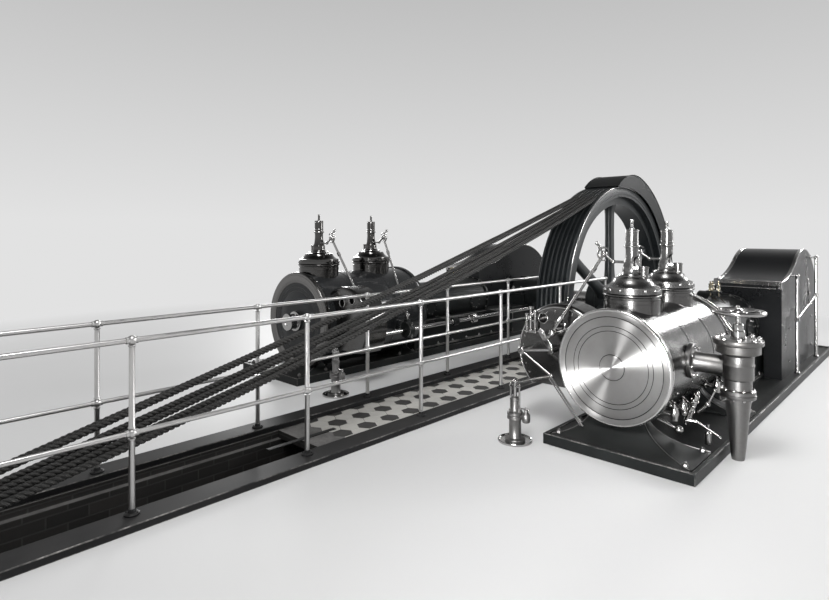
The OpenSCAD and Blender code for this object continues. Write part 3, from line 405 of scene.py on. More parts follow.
class Graph:
    """A short way of writing shader nodes into a tree."""

    def __init__(self, tree: bpy.types.NodeTree) -> None:
        """Keeps the tree that the nodes go into."""
        self.tree = tree

    def add(self, kind: str, inputs: Optional[dict[Any, Any]] = None, **settings: Any) -> bpy.types.Node:
        """Adds a node.

        Args:
            kind: The node's type without its ShaderNode prefix.
            inputs: For each input's name or number a value, or the socket that feeds it.
            settings: The node's own properties.

        Returns:
            The node.
        """
        node = self.tree.nodes.new("ShaderNode" + kind)
        for key, value in settings.items():
            setattr(node, key, value)
        return self.feed(node, inputs or {})

    def feed(self, node: bpy.types.Node, inputs: dict[Any, Any]) -> bpy.types.Node:
        """Sets or links a node's inputs.

        Args:
            node: The node.
            inputs: For each input's name or number a value, or the socket that feeds it.

        Returns:
            The node.
        """
        for key, value in inputs.items():
            if isinstance(value, bpy.types.NodeSocket):
                self.tree.links.new(value, node.inputs[key])
            else:
                node.inputs[key].default_value = value
        return node

    def local(self) -> bpy.types.NodeSocket:
        """The place on the piece, in the frame's own metres."""
        return self.add("TexCoord").outputs["Object"]

    def noise(self, place: bpy.types.NodeSocket, scale: float, detail: float = 3.0) -> bpy.types.NodeSocket:
        """The value of a noise texture at a place."""
        made = self.add("TexNoise", {"Vector": place, "Scale": scale, "Detail": detail})
        return made.outputs[0]

    def ramp(
        self, value: bpy.types.NodeSocket, start: float, end: float, low: float = 0.0, high: float = 1.0
    ) -> bpy.types.NodeSocket:
        """A value carried linearly from one span to another, and held at its ends."""
        spans = {"Value": value, "From Min": start, "From Max": end, "To Min": low, "To Max": high}
        return self.add("MapRange", spans).outputs[0]

    def math(self, kind: str, first: Any, second: Any = 0.0) -> bpy.types.NodeSocket:
        """The result of one sum on two values or sockets."""
        return self.add("Math", {0: first, 1: second}, operation=kind).outputs[0]

    def mix(self, share: Any, first: Any, second: Any, kind: str = "MIX") -> bpy.types.NodeSocket:
        """Two colours mixed by a share."""
        node = self.add("Mix", data_type="RGBA", blend_type=kind)
        return self.feed(node, {0: share, 6: first, 7: second}).outputs[2]


def new_group(name: str, inputs: dict[str, float], outputs: dict[str, str]) -> tuple[Any, Graph, Any, Any]:
    """Starts a shader node group.

    Args:
        name: The group's name.
        inputs: For each number that it takes its usual value.
        outputs: For each result its socket type.

    Returns:
        The group, its graph, and its input and output nodes.
    """
    group = bpy.data.node_groups.new(name, "ShaderNodeTree")
    for label, value in inputs.items():
        socket = group.interface.new_socket(label, in_out="INPUT", socket_type="NodeSocketFloat")
        socket.default_value = value
    for label, kind in outputs.items():
        group.interface.new_socket(label, in_out="OUTPUT", socket_type=kind)
    graph = Graph(group)
    return group, graph, group.nodes.new("NodeGroupInput"), group.nodes.new("NodeGroupOutput")


class Effects:
    """The effects that several finishes use, each a node group built once."""

    def __init__(self) -> None:
        """Builds the groups."""
        self.wear = self._wear()
        self.dust = self._dust()
        self.patches = self._patches()
        self.lines = self._lines()

    @staticmethod
    def _wear() -> Any:
        """Rubbed paint: broad noise broken up by a finer one."""
        group, g, taken, given = new_group("Rubbed paint", {"Amount": 0.5}, {"Mask": "NodeSocketFloat"})
        place = g.local()
        broad = g.ramp(g.noise(place, 5.0, 3.0), 0.40, 0.60)
        fine = g.ramp(g.noise(place, 46.0, 5.0), 0.40, 0.66, 0.35, 1.0)
        both = g.math("MULTIPLY", broad, fine)
        group.links.new(g.math("MULTIPLY", both, taken.outputs["Amount"]), given.inputs["Mask"])
        return group

    @staticmethod
    def _dust() -> Any:
        """Settled dust: on faces that look up, in soft patches."""
        group, g, taken, given = new_group("Settled dust", {"Amount": 0.5}, {"Mask": "NodeSocketFloat"})
        place = g.local()
        normal = g.add("NewGeometry").outputs["Normal"]
        upward = g.ramp(g.add("SeparateXYZ", {0: normal}).outputs["Z"], 0.35, 1.0)
        cloud = g.ramp(g.noise(place, 3.5, 6.0), 0.35, 0.75, 0.25, 1.0)
        both = g.math("MULTIPLY", upward, cloud)
        group.links.new(g.math("MULTIPLY", both, taken.outputs["Amount"]), given.inputs["Mask"])
        return group

    @staticmethod
    def _patches() -> Any:
        """Uneven finish: broad clouds crossed by fine ones, as a value round a half."""
        group, g, taken, given = new_group("Uneven finish", {"Scale": 3.0}, {"Value": "NodeSocketFloat"})
        place = g.local()
        broad = g.add("TexNoise", {"Vector": place, "Scale": taken.outputs["Scale"],
                                   "Detail": 4.0}).outputs[0]
        fine = g.noise(place, 38.0, 4.0)
        value = g.math("ADD", g.math("MULTIPLY", broad, 0.7), g.math("MULTIPLY", fine, 0.3))
        group.links.new(value, given.inputs["Value"])
        return group

    @staticmethod
    def _lines() -> Any:
        """Tool marks: noise stretched along one axis by the three stretches."""
        names = {"Stretch X": 1.0, "Stretch Y": 1.0, "Stretch Z": 1.0, "Scale": 300.0}
        group, g, taken, given = new_group("Tool marks", names, {"Value": "NodeSocketFloat"})
        place = g.local()
        stretch = g.add("CombineXYZ", {n: taken.outputs["Stretch " + "XYZ"[n]] for n in range(3)}).outputs[0]
        moved = g.add("VectorMath", {0: place, 1: stretch}, operation="MULTIPLY").outputs[0]
        marks = g.add("TexNoise", {"Vector": moved, "Scale": taken.outputs["Scale"], "Detail": 2.0})
        group.links.new(marks.outputs[0], given.inputs["Value"])
        return group

    def place(self, g: Graph, group: Any, values: dict[str, float]) -> bpy.types.NodeSocket:
        """Puts one of the groups into a material.

        Args:
            g: The material's graph.
            group: The group.
            values: Its inputs.

        Returns:
            The group's first output.
        """
        node = g.tree.nodes.new("ShaderNodeGroup")
        node.node_tree = group
        return g.feed(node, values).outputs[0]


def material(name: str) -> tuple[bpy.types.Material, Graph, bpy.types.Node]:
    """A new material with a single Principled shader, its graph and that shader."""
    made = bpy.data.materials.new(name)
    made.use_nodes = True
    made.node_tree.nodes.clear()
    g = Graph(made.node_tree)
    shader = g.add("BsdfPrincipled")
    out = g.add("OutputMaterial", name="Material Output")
    made.node_tree.links.new(shader.outputs[0], out.inputs[0])
    return made, g, shader


def grey(value: float, warm: float = 0.0) -> Colour:
    """A grey as a colour, a little warmer or cooler."""
    return (value * (1 + warm), value, value * (1 - warm), 1.0)


@dataclass(frozen=True)
class Enamel:
    """Engine enamel: glossy paint with a soft orange peel, rubbed edges and settled dust."""

    name: str
    colour: Colour
    gloss: float = 0.36
    coat: float = 0.0
    worn: float = 0.4
    dusty: float = 0.06
    shine: float = 0.2
    lift: float = 1.55

    def build(self, effects: Effects) -> bpy.types.Material:
        """Makes the material of the broad faces."""
        return self._paint(effects, self.name, self.lift, 0.0)

    def edge(self, effects: Effects) -> bpy.types.Material:
        """Makes the material of the rounded edges, where the paint has rubbed through to bright metal."""
        return self._paint(effects, self.name + "_edge", 2.6, self.worn)

    def _paint(self, effects: Effects, name: str, lift: float, rubbed: float) -> bpy.types.Material:
        """Makes one of the two materials.

        Args:
            effects: The shared effects.
            name: The material's name.
            lift: How much lighter the lighter clouds of the paint are.
            rubbed: How far the paint is rubbed through, from 0 to 1.

        Returns:
            The material.
        """
        made, g, shader = material(name)
        cloud = effects.place(g, effects.patches, {"Scale": 2.2})
        dust = effects.place(g, effects.dust, {"Amount": self.dusty})
        lighter = tuple(min(1.0, c * lift + 0.004) for c in self.colour[:3]) + (1.0,)
        paint = g.mix(g.ramp(cloud, 0.35, 0.65), self.colour, lighter)
        paint = g.mix(dust, paint, grey(0.20, 0.04))
        rough = g.ramp(cloud, 0.3, 0.7, self.gloss, self.gloss + 0.12)
        rough = g.math("ADD", rough, g.math("MULTIPLY", dust, 0.5))
        ways: dict[str, Any] = {}
        if rubbed:
            wear = effects.place(g, effects.wear, {"Amount": rubbed})
            paint = g.mix(wear, paint, grey(0.42, 0.04))
            ways["Metallic"] = wear
        peel = g.noise(g.local(), 95.0, 2.0)
        bump = g.add("Bump", {"Strength": 0.08, "Distance": 0.002, "Height": peel}).outputs[0]
        g.feed(shader, ways | {"Base Color": paint, "Roughness": rough, "Normal": bump,
                               "Coat Weight": self.coat * (1 - rubbed), "Coat Roughness": 0.08,
                               "Specular IOR Level": self.shine,})
        return made


@dataclass(frozen=True)
class Metal:
    """Bright metal with tool marks along one way, faint stains and handled patches."""

    name: str
    colour: Colour
    rough: float = 0.20
    stretch: tuple[float, float, float] = (1.0, 1.0, 1.0)
    marks: float = 0.01
    stain: float = 0.4
    spun: float = 0.0

    def build(self, effects: Effects) -> bpy.types.Material:
        """Makes the material."""
        made, g, shader = material(self.name)
        cloud = effects.place(g, effects.patches, {"Scale": 4.0})
        names = ("Stretch X", "Stretch Y", "Stretch Z")
        marks = effects.place(g, effects.lines, dict(zip(names, self.stretch)) | {"Scale": 260.0})
        dull = tuple(c * f for c, f in zip(self.colour[:3], (0.62, 0.58, 0.52))) + (1.0,)
        stain = g.math("MULTIPLY", g.ramp(cloud, 0.50, 0.72), self.stain)
        metal = g.mix(stain, self.colour, dull)
        rough = g.ramp(cloud, 0.3, 0.7, self.rough * 0.8, self.rough * 1.35)
        rough = g.math("ADD", rough, g.ramp(marks, 0.3, 0.7, -0.03, 0.05))
        bump = g.add("Bump", {"Strength": self.marks, "Distance": 0.001, "Height": marks}).outputs[0]
        g.feed(shader, {"Base Color": metal, "Roughness": rough, "Normal": bump, "Metallic": 1.0})
        if self.spun:
            tangent = g.add("Tangent", direction_type="RADIAL", axis="Y").outputs[0]
            g.feed(shader, {"Tangent": tangent, "Anisotropic": self.spun, "Anisotropic Rotation": 0.25})
        return made


@dataclass(frozen=True)
class Rope:
    """Old cotton driving rope: dark, greasy crowns and fine fibres along the strands, whose pale flecks are
    partly painted glints.
    """

    name: str

    def build(self, effects: Effects) -> bpy.types.Material:
        """Makes the material."""
        made, g, shader = material(self.name)
        place = g.add("TexCoord").outputs["UV"]
        moved = g.add("Mapping", {"Vector": place, "Rotation": (0, 0, math.radians(30)),
                                  "Scale": (90, 22, 1)})
        fibre_and_glint = g.noise(moved.outputs[0], 1.0, 5.0)
        cloud = effects.place(g, effects.patches, {"Scale": 1.7})
        cotton = g.mix(g.ramp(cloud, 0.35, 0.7), (0.008, 0.0078, 0.0076, 1), (0.024, 0.0232, 0.022, 1))
        # pale flecks along the fibres: partly light cotton fibres, partly painted glints
        cotton = g.mix(g.ramp(fibre_and_glint, 0.52, 0.72, 0.0, 0.5), cotton, (0.17, 0.165, 0.155, 1))
        bump = g.add("Bump", {"Strength": 0.8, "Distance": 0.002, "Height": fibre_and_glint}).outputs[0]
        rough = g.ramp(cloud, 0.3, 0.7, 0.55, 0.82)
        g.feed(shader, {"Base Color": cotton, "Roughness": rough, "Normal": bump, "Sheen Weight": 0.06})
        return made


@dataclass(frozen=True)
class Masonry:
    """Blue-brown engineering brick in courses below a cement-faced top, the brick darkened to near black as
    painted shade of the rope race.
    """

    name: str

    def build(self, effects: Effects) -> bpy.types.Material:
        """Makes the material."""
        made, g, shader = material(self.name)
        parts = g.add("SeparateXYZ", {0: g.local()}).outputs
        along = g.math("ADD", parts["X"], parts["Y"])
        along_wall = g.add("CombineXYZ", {0: along, 1: parts["Z"]}).outputs[0]
        # brick colours darkened to near black: painted shade of the race's pit
        brick = g.add("TexBrick", {"Vector": along_wall, "Scale": 1.0, "Mortar Size": 0.005,
                                   "Brick Width": 0.235, "Row Height": 0.075, "Bias": 0.0,
                                   "Color1": (0.016, 0.015, 0.014, 1), "Color2": (0.030, 0.027, 0.025, 1),
                                   "Mortar": grey(0.045, 0.03),})
        normal = g.add("SeparateXYZ", {0: g.add("NewGeometry").outputs["Normal"]}).outputs["Z"]
        cloud = effects.place(g, effects.patches, {"Scale": 3.0})
        cement = g.mix(g.ramp(cloud, 0.35, 0.65), grey(0.10, 0.03), grey(0.20, 0.03))
        wall = g.mix(g.ramp(cloud, 0.4, 0.7, 0, 0.5), brick.outputs[0], grey(0.02, 0.05))
        colour = g.mix(g.ramp(normal, 0.5, 0.8), wall, cement)
        height = g.math("SUBTRACT", g.math("MULTIPLY", cloud, 0.4),
                        g.math("MULTIPLY", brick.outputs[1], 0.8))
        bump = g.add("Bump", {"Strength": 0.5, "Distance": 0.004, "Height": height}).outputs[0]
        g.feed(shader, {"Base Color": colour, "Normal": bump, "Roughness": 0.85})
        return made


@dataclass(frozen=True)
class Glass:
    """Clear glass of the oil pots, faintly clouded."""

    name: str

    def build(self, effects: Effects) -> bpy.types.Material:
        """Makes the material."""
        made, g, shader = material(self.name)
        cloud = effects.place(g, effects.patches, {"Scale": 30.0})
        rough = g.ramp(cloud, 0.4, 0.7, 0.02, 0.12)
        g.feed(shader, {"Roughness": rough, "Base Color": (0.93, 0.90, 0.80, 1),
                        "Transmission Weight": 1.0})
        return made


class Paint(Enum):
    """Every finish of the engine."""

    BED = Enamel("bed_enamel", (0.006, 0.007, 0.007, 1), worn=0.6, shine=0.16)
    WHEEL = Enamel("wheel_enamel", (0.011, 0.013, 0.014, 1), coat=0.03, shine=0.28)
    SHEET = Enamel("black_sheet_enamel", (0.003, 0.0034, 0.004, 1), gloss=0.24, worn=0.08, dusty=0.015,
                   shine=0.22)
    TILE = Enamel("pale_tile", (0.50, 0.49, 0.46, 1), gloss=0.34, worn=0.0, dusty=0.05, shine=0.5, lift=1.2)
    DARK_TILE = Enamel("dark_tile", (0.035, 0.034, 0.033, 1), gloss=0.34, worn=0.0, dusty=0.10, shine=0.3)
    GUARD = Enamel("guard_enamel", (0.006, 0.0066, 0.007, 1), gloss=0.48)
    DARK = Enamel("low_pressure_enamel", (0.012, 0.013, 0.014, 1), gloss=0.15, coat=0.35, worn=0.5,
                  dusty=0.03, shine=0.4)
    COVER = Enamel("cover_enamel", (0.011, 0.012, 0.013, 1), gloss=0.28, worn=0.5, dusty=0.03, shine=0.25)
    KERB = Enamel("kerb_iron", (0.009, 0.009, 0.0095, 1), gloss=0.44, worn=0.6, dusty=0.10)
    RIM = Metal("dark_rim", grey(0.17, 0.02), marks=0.004)
    BEAD = Metal("bead_steel", grey(0.62, 0.012), marks=0.002, stain=0.1)
    BONNET = Metal("bonnet_steel", grey(0.17, 0.01), rough=0.24, stretch=(1, 1, 0.2))
    GEAR = Metal("gear_case_steel", grey(0.13, 0.01), rough=0.18, marks=0.02, stain=0.6)
    TURNED = Metal("turned_steel", grey(0.50, 0.012), rough=0.38, stain=0.12, spun=1.0)
    LAGGING = Metal("planished_sheet", grey(0.12, 0.01), rough=0.18, stretch=(1, 0.03, 1), marks=0.002)
    DRUM = Metal("drum_sheet", grey(0.13, 0.012), stretch=(0.05, 0.05, 1))
    # steel darkened well below the near engine's, as painted shade on the backlit far drums and bonnets and
    # in the cover grooves
    SHADED_SHEET = Metal("painted_shade_sheet", grey(0.09, 0.02), rough=0.13, stretch=(0.05, 0.05, 1))
    STEEL = Metal("polished_steel", grey(0.42, 0.01), rough=0.15, stretch=(1, 1, 0.2), stain=0.25)
    RAIL = Metal("rail_steel", grey(0.55, 0.01), rough=0.33, stretch=(1, 0.05, 1), marks=0.001, stain=0.10)
    VALVE = Metal("dull_steel", grey(0.20, 0.015), rough=0.33, marks=0.05, stain=0.5)
    BRASS = Metal("brass", (0.40, 0.36, 0.27, 1), rough=0.18, stretch=(1, 1, 0.2), stain=0.3)
    ROPE = Rope("driving_rope")
    STONE = Masonry("masonry")
    GLASS = Glass("pot_glass")


# Each slot with the finishes that go with it, its plain one first
SLOT_PAINTS = {
    "masonry": (Paint.STONE, Paint.TILE, Paint.DARK_TILE),
    "kerb_iron": (Paint.KERB,),
    "rail_steel": (Paint.RAIL,),
    "bed_paint": (Paint.BED,),
    "gear_case_paint": (Paint.GEAR,),
    "wheel_paint": (Paint.WHEEL,),
    "black_sheet": (Paint.SHEET, Paint.GUARD),
    "polished_lagging": (Paint.LAGGING, Paint.DRUM),
    "dark_lagging": (Paint.DARK, Paint.COVER, Paint.SHADED_SHEET, Paint.RIM),
    "polished_steel": (Paint.STEEL, Paint.BONNET, Paint.BEAD, Paint.TURNED),
    "valve_steel": (Paint.VALVE,),
    "brass": (Paint.BRASS, Paint.GLASS),
    "rope": (Paint.ROPE,),
}


class Workshop:
    """Makes pieces: names them, gives them a finish and puts them on a body of the model."""

    def __init__(self) -> None:
        """Builds the finishes."""
        effects = Effects()
        self.finishes = {paint: paint.value.build(effects) for paint in Paint}
        self.edges = {p: p.value.edge(effects) for p in Paint if isinstance(p.value, Enamel)}

    def place(
        self, name: str, mesh: bpy.types.Mesh, paint: Paint, stands_for: Sequence[str], body: str
    ) -> bpy.types.Object:
        """Puts a mesh into the scene as a piece on a body.

        Args:
            name: The piece's name.
            mesh: Its mesh, in the frame.
            paint: Its finish.
            stands_for: The nodes that it is shown instead of.
            body: The body that it moves with.

        Returns:
            The piece.
        """
        piece = bpy.data.objects.new(name, mesh)
        bpy.context.scene.collection.objects.link(piece)
        mesh.materials.append(self.finishes[paint])
        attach(piece, body)
        if stands_for:
            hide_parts(*stands_for)
        LOG.info("%s: %d faces, %s, on %s", name, len(mesh.polygons), paint.name.lower(), body)
        return piece

    def piece(
        self, name: str, shells: Shells, paint: Paint, *stands_for: str,
        body: str = "engine", uv: bool = False,
    ) -> bpy.types.Object:
        """Makes a piece of shells, as `place` does."""
        return self.place(name, shells.mesh(name, uv), paint, stands_for, body)

    def casting(
        self, node: str, paint: Paint, edge: float, segments: int = 2, body: str = "engine"
    ) -> bpy.types.Object:
        """Makes a piece from a copy of a node, with its edges rounded.

        The copy's points that fall together are joined and its flat faces made whole, because the
        node's own mesh is loose triangles. A Bevel modifier rounds the edges that are sharper than
        a small angle.

        Args:
            node: The node that is copied and stood for.
            paint: Its finish.
            edge: The breadth of the rounding.
            segments: The steps of the rounding.
            body: The body that it moves with.

        Returns:
            The piece.
        """
        copy = bmesh.new()
        copy.from_mesh(bpy.data.objects[node].data)
        bmesh.ops.remove_doubles(copy, verts=copy.verts, dist=JOIN)
        flat = math.radians(FLAT_DEG)
        bmesh.ops.dissolve_limit(copy, angle_limit=flat, verts=copy.verts, edges=copy.edges, delimit=set())
        mesh = bpy.data.meshes.new(node + "_casting")
        copy.to_mesh(mesh)
        copy.free()
        mesh.polygons.foreach_set("use_smooth", np.ones(len(mesh.polygons), bool))
        mesh.set_sharp_from_angle(angle=math.radians(SHARP_DEG))
        piece = self.place(node + "_casting", mesh, paint, (node,), body)
        bevel = piece.modifiers.new("Rounded edges", "BEVEL")
        bevel.width = edge
        bevel.segments = segments
        bevel.limit_method = "ANGLE"
        bevel.angle_limit = math.radians(ROUND_DEG)
        bevel.use_clamp_overlap = True
        if paint in self.edges:
            mesh.materials.append(self.edges[paint])
            bevel.material = 1
        return piece
@dataclass(frozen=True)
class Engine:
    """One of the two engines: its sizes, in metres from its own axis, and its pieces."""

    name: str
    side: int
    dist: float
    front: float
    cover_r: float
    length: float
    valves: tuple[float, float]
    drum_r: float
    shaft_off: float
    lead: float
    barrel: Paint
    drum: Paint
    bonnet: Paint
    face: Paint
    rim: Paint
    bead: Paint
    groove: Paint

    @property
    def rear(self) -> float:
        """The rear end of the cylinder."""
        return self.front + 0.06 + self.length

    @property
    def lag_r(self) -> float:
        """The radius of the lagging."""
        return self.cover_r - 0.018

    def at(self, x: float, y: float, z: float) -> tuple[float, float, float]:
        """A point given by its distance outward from the engine's axis."""
        return (self.side * (self.dist + x), y, z)

    @property
    def drum_top(self) -> float:
        """The height of the valve drums' tops."""
        return SHAFT_Z + self.lag_r + DRUM_RISE

    def build(self, shop: Workshop) -> None:
        """Builds the engine's own pieces in order."""
        for part in (self.cover, self.cylinder, self.bonnets, self.valve_rods, self.side_shaft,
                     self.lubricator, self.hood_trim, self.foot_edge_highlights, self.frame_details):
            part(shop)

    def cover(self, shop: Workshop) -> None:
        """Turns a cylinder's cover: boss and flat field, dark hoops in its grooves as painted shade, and a
        raised rim of its own finish.
        """
        r, centre = self.cover_r, self.at(0, self.front, SHAFT_Z)
        step, behind = 0.865 if self is NEAR else 0.79, 0.045
        field = [(0, 0.004), (0.045 * r, 0.0035), (0.05 * r, 0.0045), (0.11 * r, 0.0035),
                 (0.115 * r, 0.0045), (0.17 * r, 0.0035), (0.195 * r, 0.005), (0.21 * r, 0.009),
                 (0.215 * r, 0.0135), (0.222 * r, 0.0155), (0.24 * r, 0.016), (0.40 * r, 0.0148),
                 (0.612 * r, 0.0125), (0.618 * r, 0.0145), (0.622 * r, 0.0122), (0.66 * r, 0.0115),
                 (0.692 * r, 0.0115), (0.698 * r, 0.0140), (0.704 * r, 0.0112), (step * r, 0.0100),
                 ((step + 0.01) * r, 0.0125), ((step + 0.01) * r, behind)]
        face = Shells().lathe(field, centre, Axis.Y, 160)
        shop.piece(f"cover_{self.name}_turned", face, self.face, f"cover_{self.name}")
        rim = [((step - 0.002) * r, behind), ((step - 0.002) * r, 0.0085), ((step + 0.008) * r, 0.0070),
               ((step + 0.030) * r, 0.0020), ((step + 0.045) * r, 0.0006), (0.940 * r, 0.0),
               (0.944 * r, 0.0022), (0.950 * r, 0.0022), (0.955 * r, 0.0015), (0.955 * r, behind)]
        shop.piece(f"cover_{self.name}_rim", Shells().lathe(rim, centre, Axis.Y, 160), self.rim)
        bead = [(0.953 * r, behind), (0.953 * r, 0.0015)] + [(r - 0.018 + x, y) for x,
                                                             y in arc((0, 0.018), 0.018, -85, 0, 8)]
        bead += [(r, 0.047), (r - 0.003, 0.055), (r - 0.009, 0.06)]
        shop.piece(f"cover_{self.name}_bead", Shells().lathe(bead, centre, Axis.Y, 160), self.bead)
        # dark hoops laid in the turned grooves: painted shade of the grooves
        grooves = Shells()
        for share, depth, breadth in ((0.216, 0.0125, 0.003), (0.616, 0.0142, 0.0032),
                                      (0.698, 0.0134, 0.0032), (step - 0.006, 0.0105, 0.0036)):
            grooves.hoop((centre[0], centre[1] + depth, centre[2]), share * r, breadth, Axis.Y, 120)
        shop.piece(f"cover_{self.name}_grooves", grooves, self.groove)

    def cylinder(self, shop: Workshop) -> None:
        """Builds a cylinder: lagging with bands and screws, end ring, drums with beads, and chests."""
        r, y0, y1 = self.lag_r, 0.06, 0.06 + self.length
        profile = [(r + 0.004, y0), (r + 0.006, y0 + 0.003), (r + 0.006, y0 + 0.022), (r, y0 + 0.025)]
        for at in (0.33, 0.66):
            y = y0 + at * self.length
            profile += [(r, y - 0.021), (r + 0.003, y - 0.019), (r + 0.003, y + 0.019), (r, y + 0.021)]
        profile += [(r, y1 - 0.052), (r + 0.012, y1 - 0.05), (r + 0.018, y1 - 0.044),
                    (r + 0.018, y1 - 0.006), (r + 0.012, y1)]
        barrel = Shells().lathe(profile, self.at(0, self.front, SHAFT_Z), Axis.Y, 128)
        for y in self.valves:
            chest = [(0.1, PLATE_Z), (0.1, PLATE_Z + 0.02), (0.085, PLATE_Z + 0.022),
                     (0.085, SHAFT_Z - 0.2)]
            barrel.upright(chest, self.at(0, y, 0), 40)
        shop.piece(f"cylinder_{self.name}_barrel", barrel, self.barrel, f"cylinder_{self.name}")
        drums, top, d = Shells(), self.drum_top, self.drum_r
        for y in self.valves:
            bead = [(d + 0.012 * math.cos(a), top - 0.016 + 0.012 * math.sin(a)) for a in np.linspace(-1.5,
                                                                                                      1.5,
                                                                                                      7)]
            body = [(d, SHAFT_Z), (d, top - 0.075), (d + 0.003, top - 0.073), (d + 0.003, top - 0.045),
                    (d, top - 0.043)]
            foot = SHAFT_Z + math.sqrt(r * r - d * d)
            body[1:1] = [(d, foot - 0.02), (d + 0.004, foot - 0.018), (d + 0.004, foot + 0.012),
                         (d, foot + 0.014)]
            drums.lathe(body + bead + [(d - 0.005, top)], self.at(0, y, 0), Axis.Z, 96)
        shop.piece(f"cylinder_{self.name}_drums", drums, self.drum)
        screws = Shells()
        for at in (0.012, 0.33 * self.length, 0.66 * self.length):
            rows = round_places(self.at(0, self.front + y0 + at, SHAFT_Z),
                                r + (0.0055 if at < 0.02 else 0.0025), 28, Axis.Y, 0.1)
            heads = unit(rows - np.array(self.at(0, self.front + y0 + at, SHAFT_Z)))
            for place, way in zip(rows, heads):
                screws.rod(place - 0.003 * way, place + 0.0022 * way, 0.0065, 8)
        shop.piece(f"cylinder_{self.name}_screws", screws, Paint.STEEL)

    def bonnets(self, shop: Workshop) -> None:
        """Adds to the bonnets their bolts, cap rings and the bright rim of the opening in the neck."""
        shop.casting(f"bonnets_{self.name}", self.bonnet, 0.004, 3)
        base = self.drum_top
        bolts, rings = Shells(), Shells()
        for y in self.valves:
            seats = round_places(self.at(0, y, base + 0.0235), self.drum_r - 0.006, 14, Axis.Z, 0.2)
            bolts.nuts(seats, Axis.Z, 0.021, 0.012, 0.006)
            neck = base + 0.11 + 0.24
            for z, radius, bead in ((neck + 0.009, 0.055, 0.0065), (neck + 0.04, 0.049, 0.004),
                                    (neck + 0.125, 0.047, 0.005), (base + 0.128, 0.113, 0.005)):
                rings.hoop(self.at(0, y, z), radius, bead, Axis.Z, 48)
            rings.lathe([(0.019, neck + 0.132), (0.019, neck + 0.150), (0.012, neck + 0.158)],
                        self.at(0, y, 0), Axis.Z, 24)
            rings.lathe([(0.014, neck + 0.203), (0.014, neck + 0.2145)], self.at(0, y, 0), Axis.Z, 20)
        shop.piece(f"bonnets_{self.name}_bolts", bolts, self.bonnet)
        shop.piece(f"bonnets_{self.name}_rings", rings, Paint.STEEL)

    def valve_rods(self, shop: Workshop) -> None:
        """Builds the rockers, their crescents, the rods that lift them, and the near rear one's column."""
        rods = Shells()
        arm = self.drum_top + 0.11 + 0.1008 + 0.0225
        for n, y in enumerate(self.valves):
            on_column = self is NEAR and n == 1
            reach = -0.243 if on_column else -0.228
            elbow, tip = np.array(self.at(-0.15, y, arm)), np.array(self.at(reach, y, arm + 0.06))
            rods.rod(self.at(0.01, y, arm), elbow, 0.011).ball(elbow, 0.018)
            rods.rod(self.at(-0.045, y - 0.0165, arm), self.at(-0.045, y + 0.0165, arm), 0.015)
            end = tip + np.array([-0.06 * self.side, 0, 0.085])
            rods.rod(elbow, tip, 0.011).ball(tip, 0.027).rod(tip, end, 0.010).ball(end, 0.016)
            half = tip + 0.55 * (end - tip)
            rods.rod(half, half + 0.35 * (end - half), 0.015, 6)
            hook = [(tip[0] + self.side * dx, y, tip[2] + dz) for dx, dz in arc((0, 0), 0.052, 40, 285, 22)]
            rods.sweep(np.array(hook), ring(0.0085, 10) * np.array([1.0, 1.3]), (0, 1, 0),
                       np.concatenate([np.linspace(0.55, 1, 6), np.ones(11), np.linspace(1, 0.55, 6)]))
            if on_column:
                foot = SHAFT_Z + math.sqrt(self.lag_r**2 - reach**2)
                rods.lathe([(0.030, foot - 0.012), (0.030, foot + 0.012), (0.026, foot + 0.016),
                            (0.019, foot + 0.020), (0.018, foot + 0.03), (0.018, tip[2] - 0.03),
                            (0.021, tip[2] - 0.028), (0.021, tip[2] - 0.01)], (tip[0], y, 0), Axis.Z, 32)
                continue
            if self is NEAR:
                low = np.array(self.at(-0.495, self.front + 0.02, SHAFT_Z + 0.193))
                rods.rod(low, (low[0], self.front + 0.15, low[2]), 0.019)
                rods.rod((low[0], self.front + 0.13, low[2]), (low[0], self.front + 0.149, low[2]), 0.036,
                         6)
            else:
                low = np.array(self.at(-self.shaft_off, STRAPS[n], SHAFT_Z + 0.015))
                rods.rod(low - np.array([0, 0, 0.05]), low, 0.022)
            rods.rod(low, tip, 0.0125).ball(low, 0.03)
            way = unit(tip - low)
            for share in (0.16, 0.80):
                at = low + share * (tip - low)
                rods.rod(at - 0.022 * way, at + 0.022 * way, 0.019, 6)
        shop.piece(f"valve_rods_{self.name}_polished", rods, Paint.STEEL, f"valve_rods_{self.name}")

    def side_shaft(self, shop: Workshop) -> None:
        """Builds a side shaft with its bolted coupling and collars."""
        x, z = self.at(-self.shaft_off, 0, 0)[0], SHAFT_Z - SHAFT_DROP
        shaft = Shells().rod((x, self.front + 0.34, z), (x, -0.18, z), 0.025, 32)
        mid = (self.rear - 1.05) / 2
        for y in (mid - 0.019, mid + 0.019):
            shaft.prism(ring(0.062, 40), (x, y - 0.0178, z), Axis.Y, 0.0356, 0.003)
        places = round_places((x, mid + 0.037, z), 0.045, 6, Axis.Y)
        shaft.nuts(places, Axis.Y, 0.020, 0.012, 0.005)
        shaft.nuts(places - np.array([0, 0.074, 0]), Axis.Y, 0.020, -0.012)
        for y in (self.rear + 0.42 - 0.058, self.rear + 0.42 + 0.058, -1.15 - 0.058, -1.15 + 0.058):
            shaft.prism(ring(0.037, 32), (x, y - 0.0115, z), Axis.Y, 0.023, 0.002)
        shop.piece(f"side_shaft_{self.name}_turned", shaft, Paint.STEEL, f"side_shaft_{self.name}",
                   body=f"side_shaft_{self.name}_body")

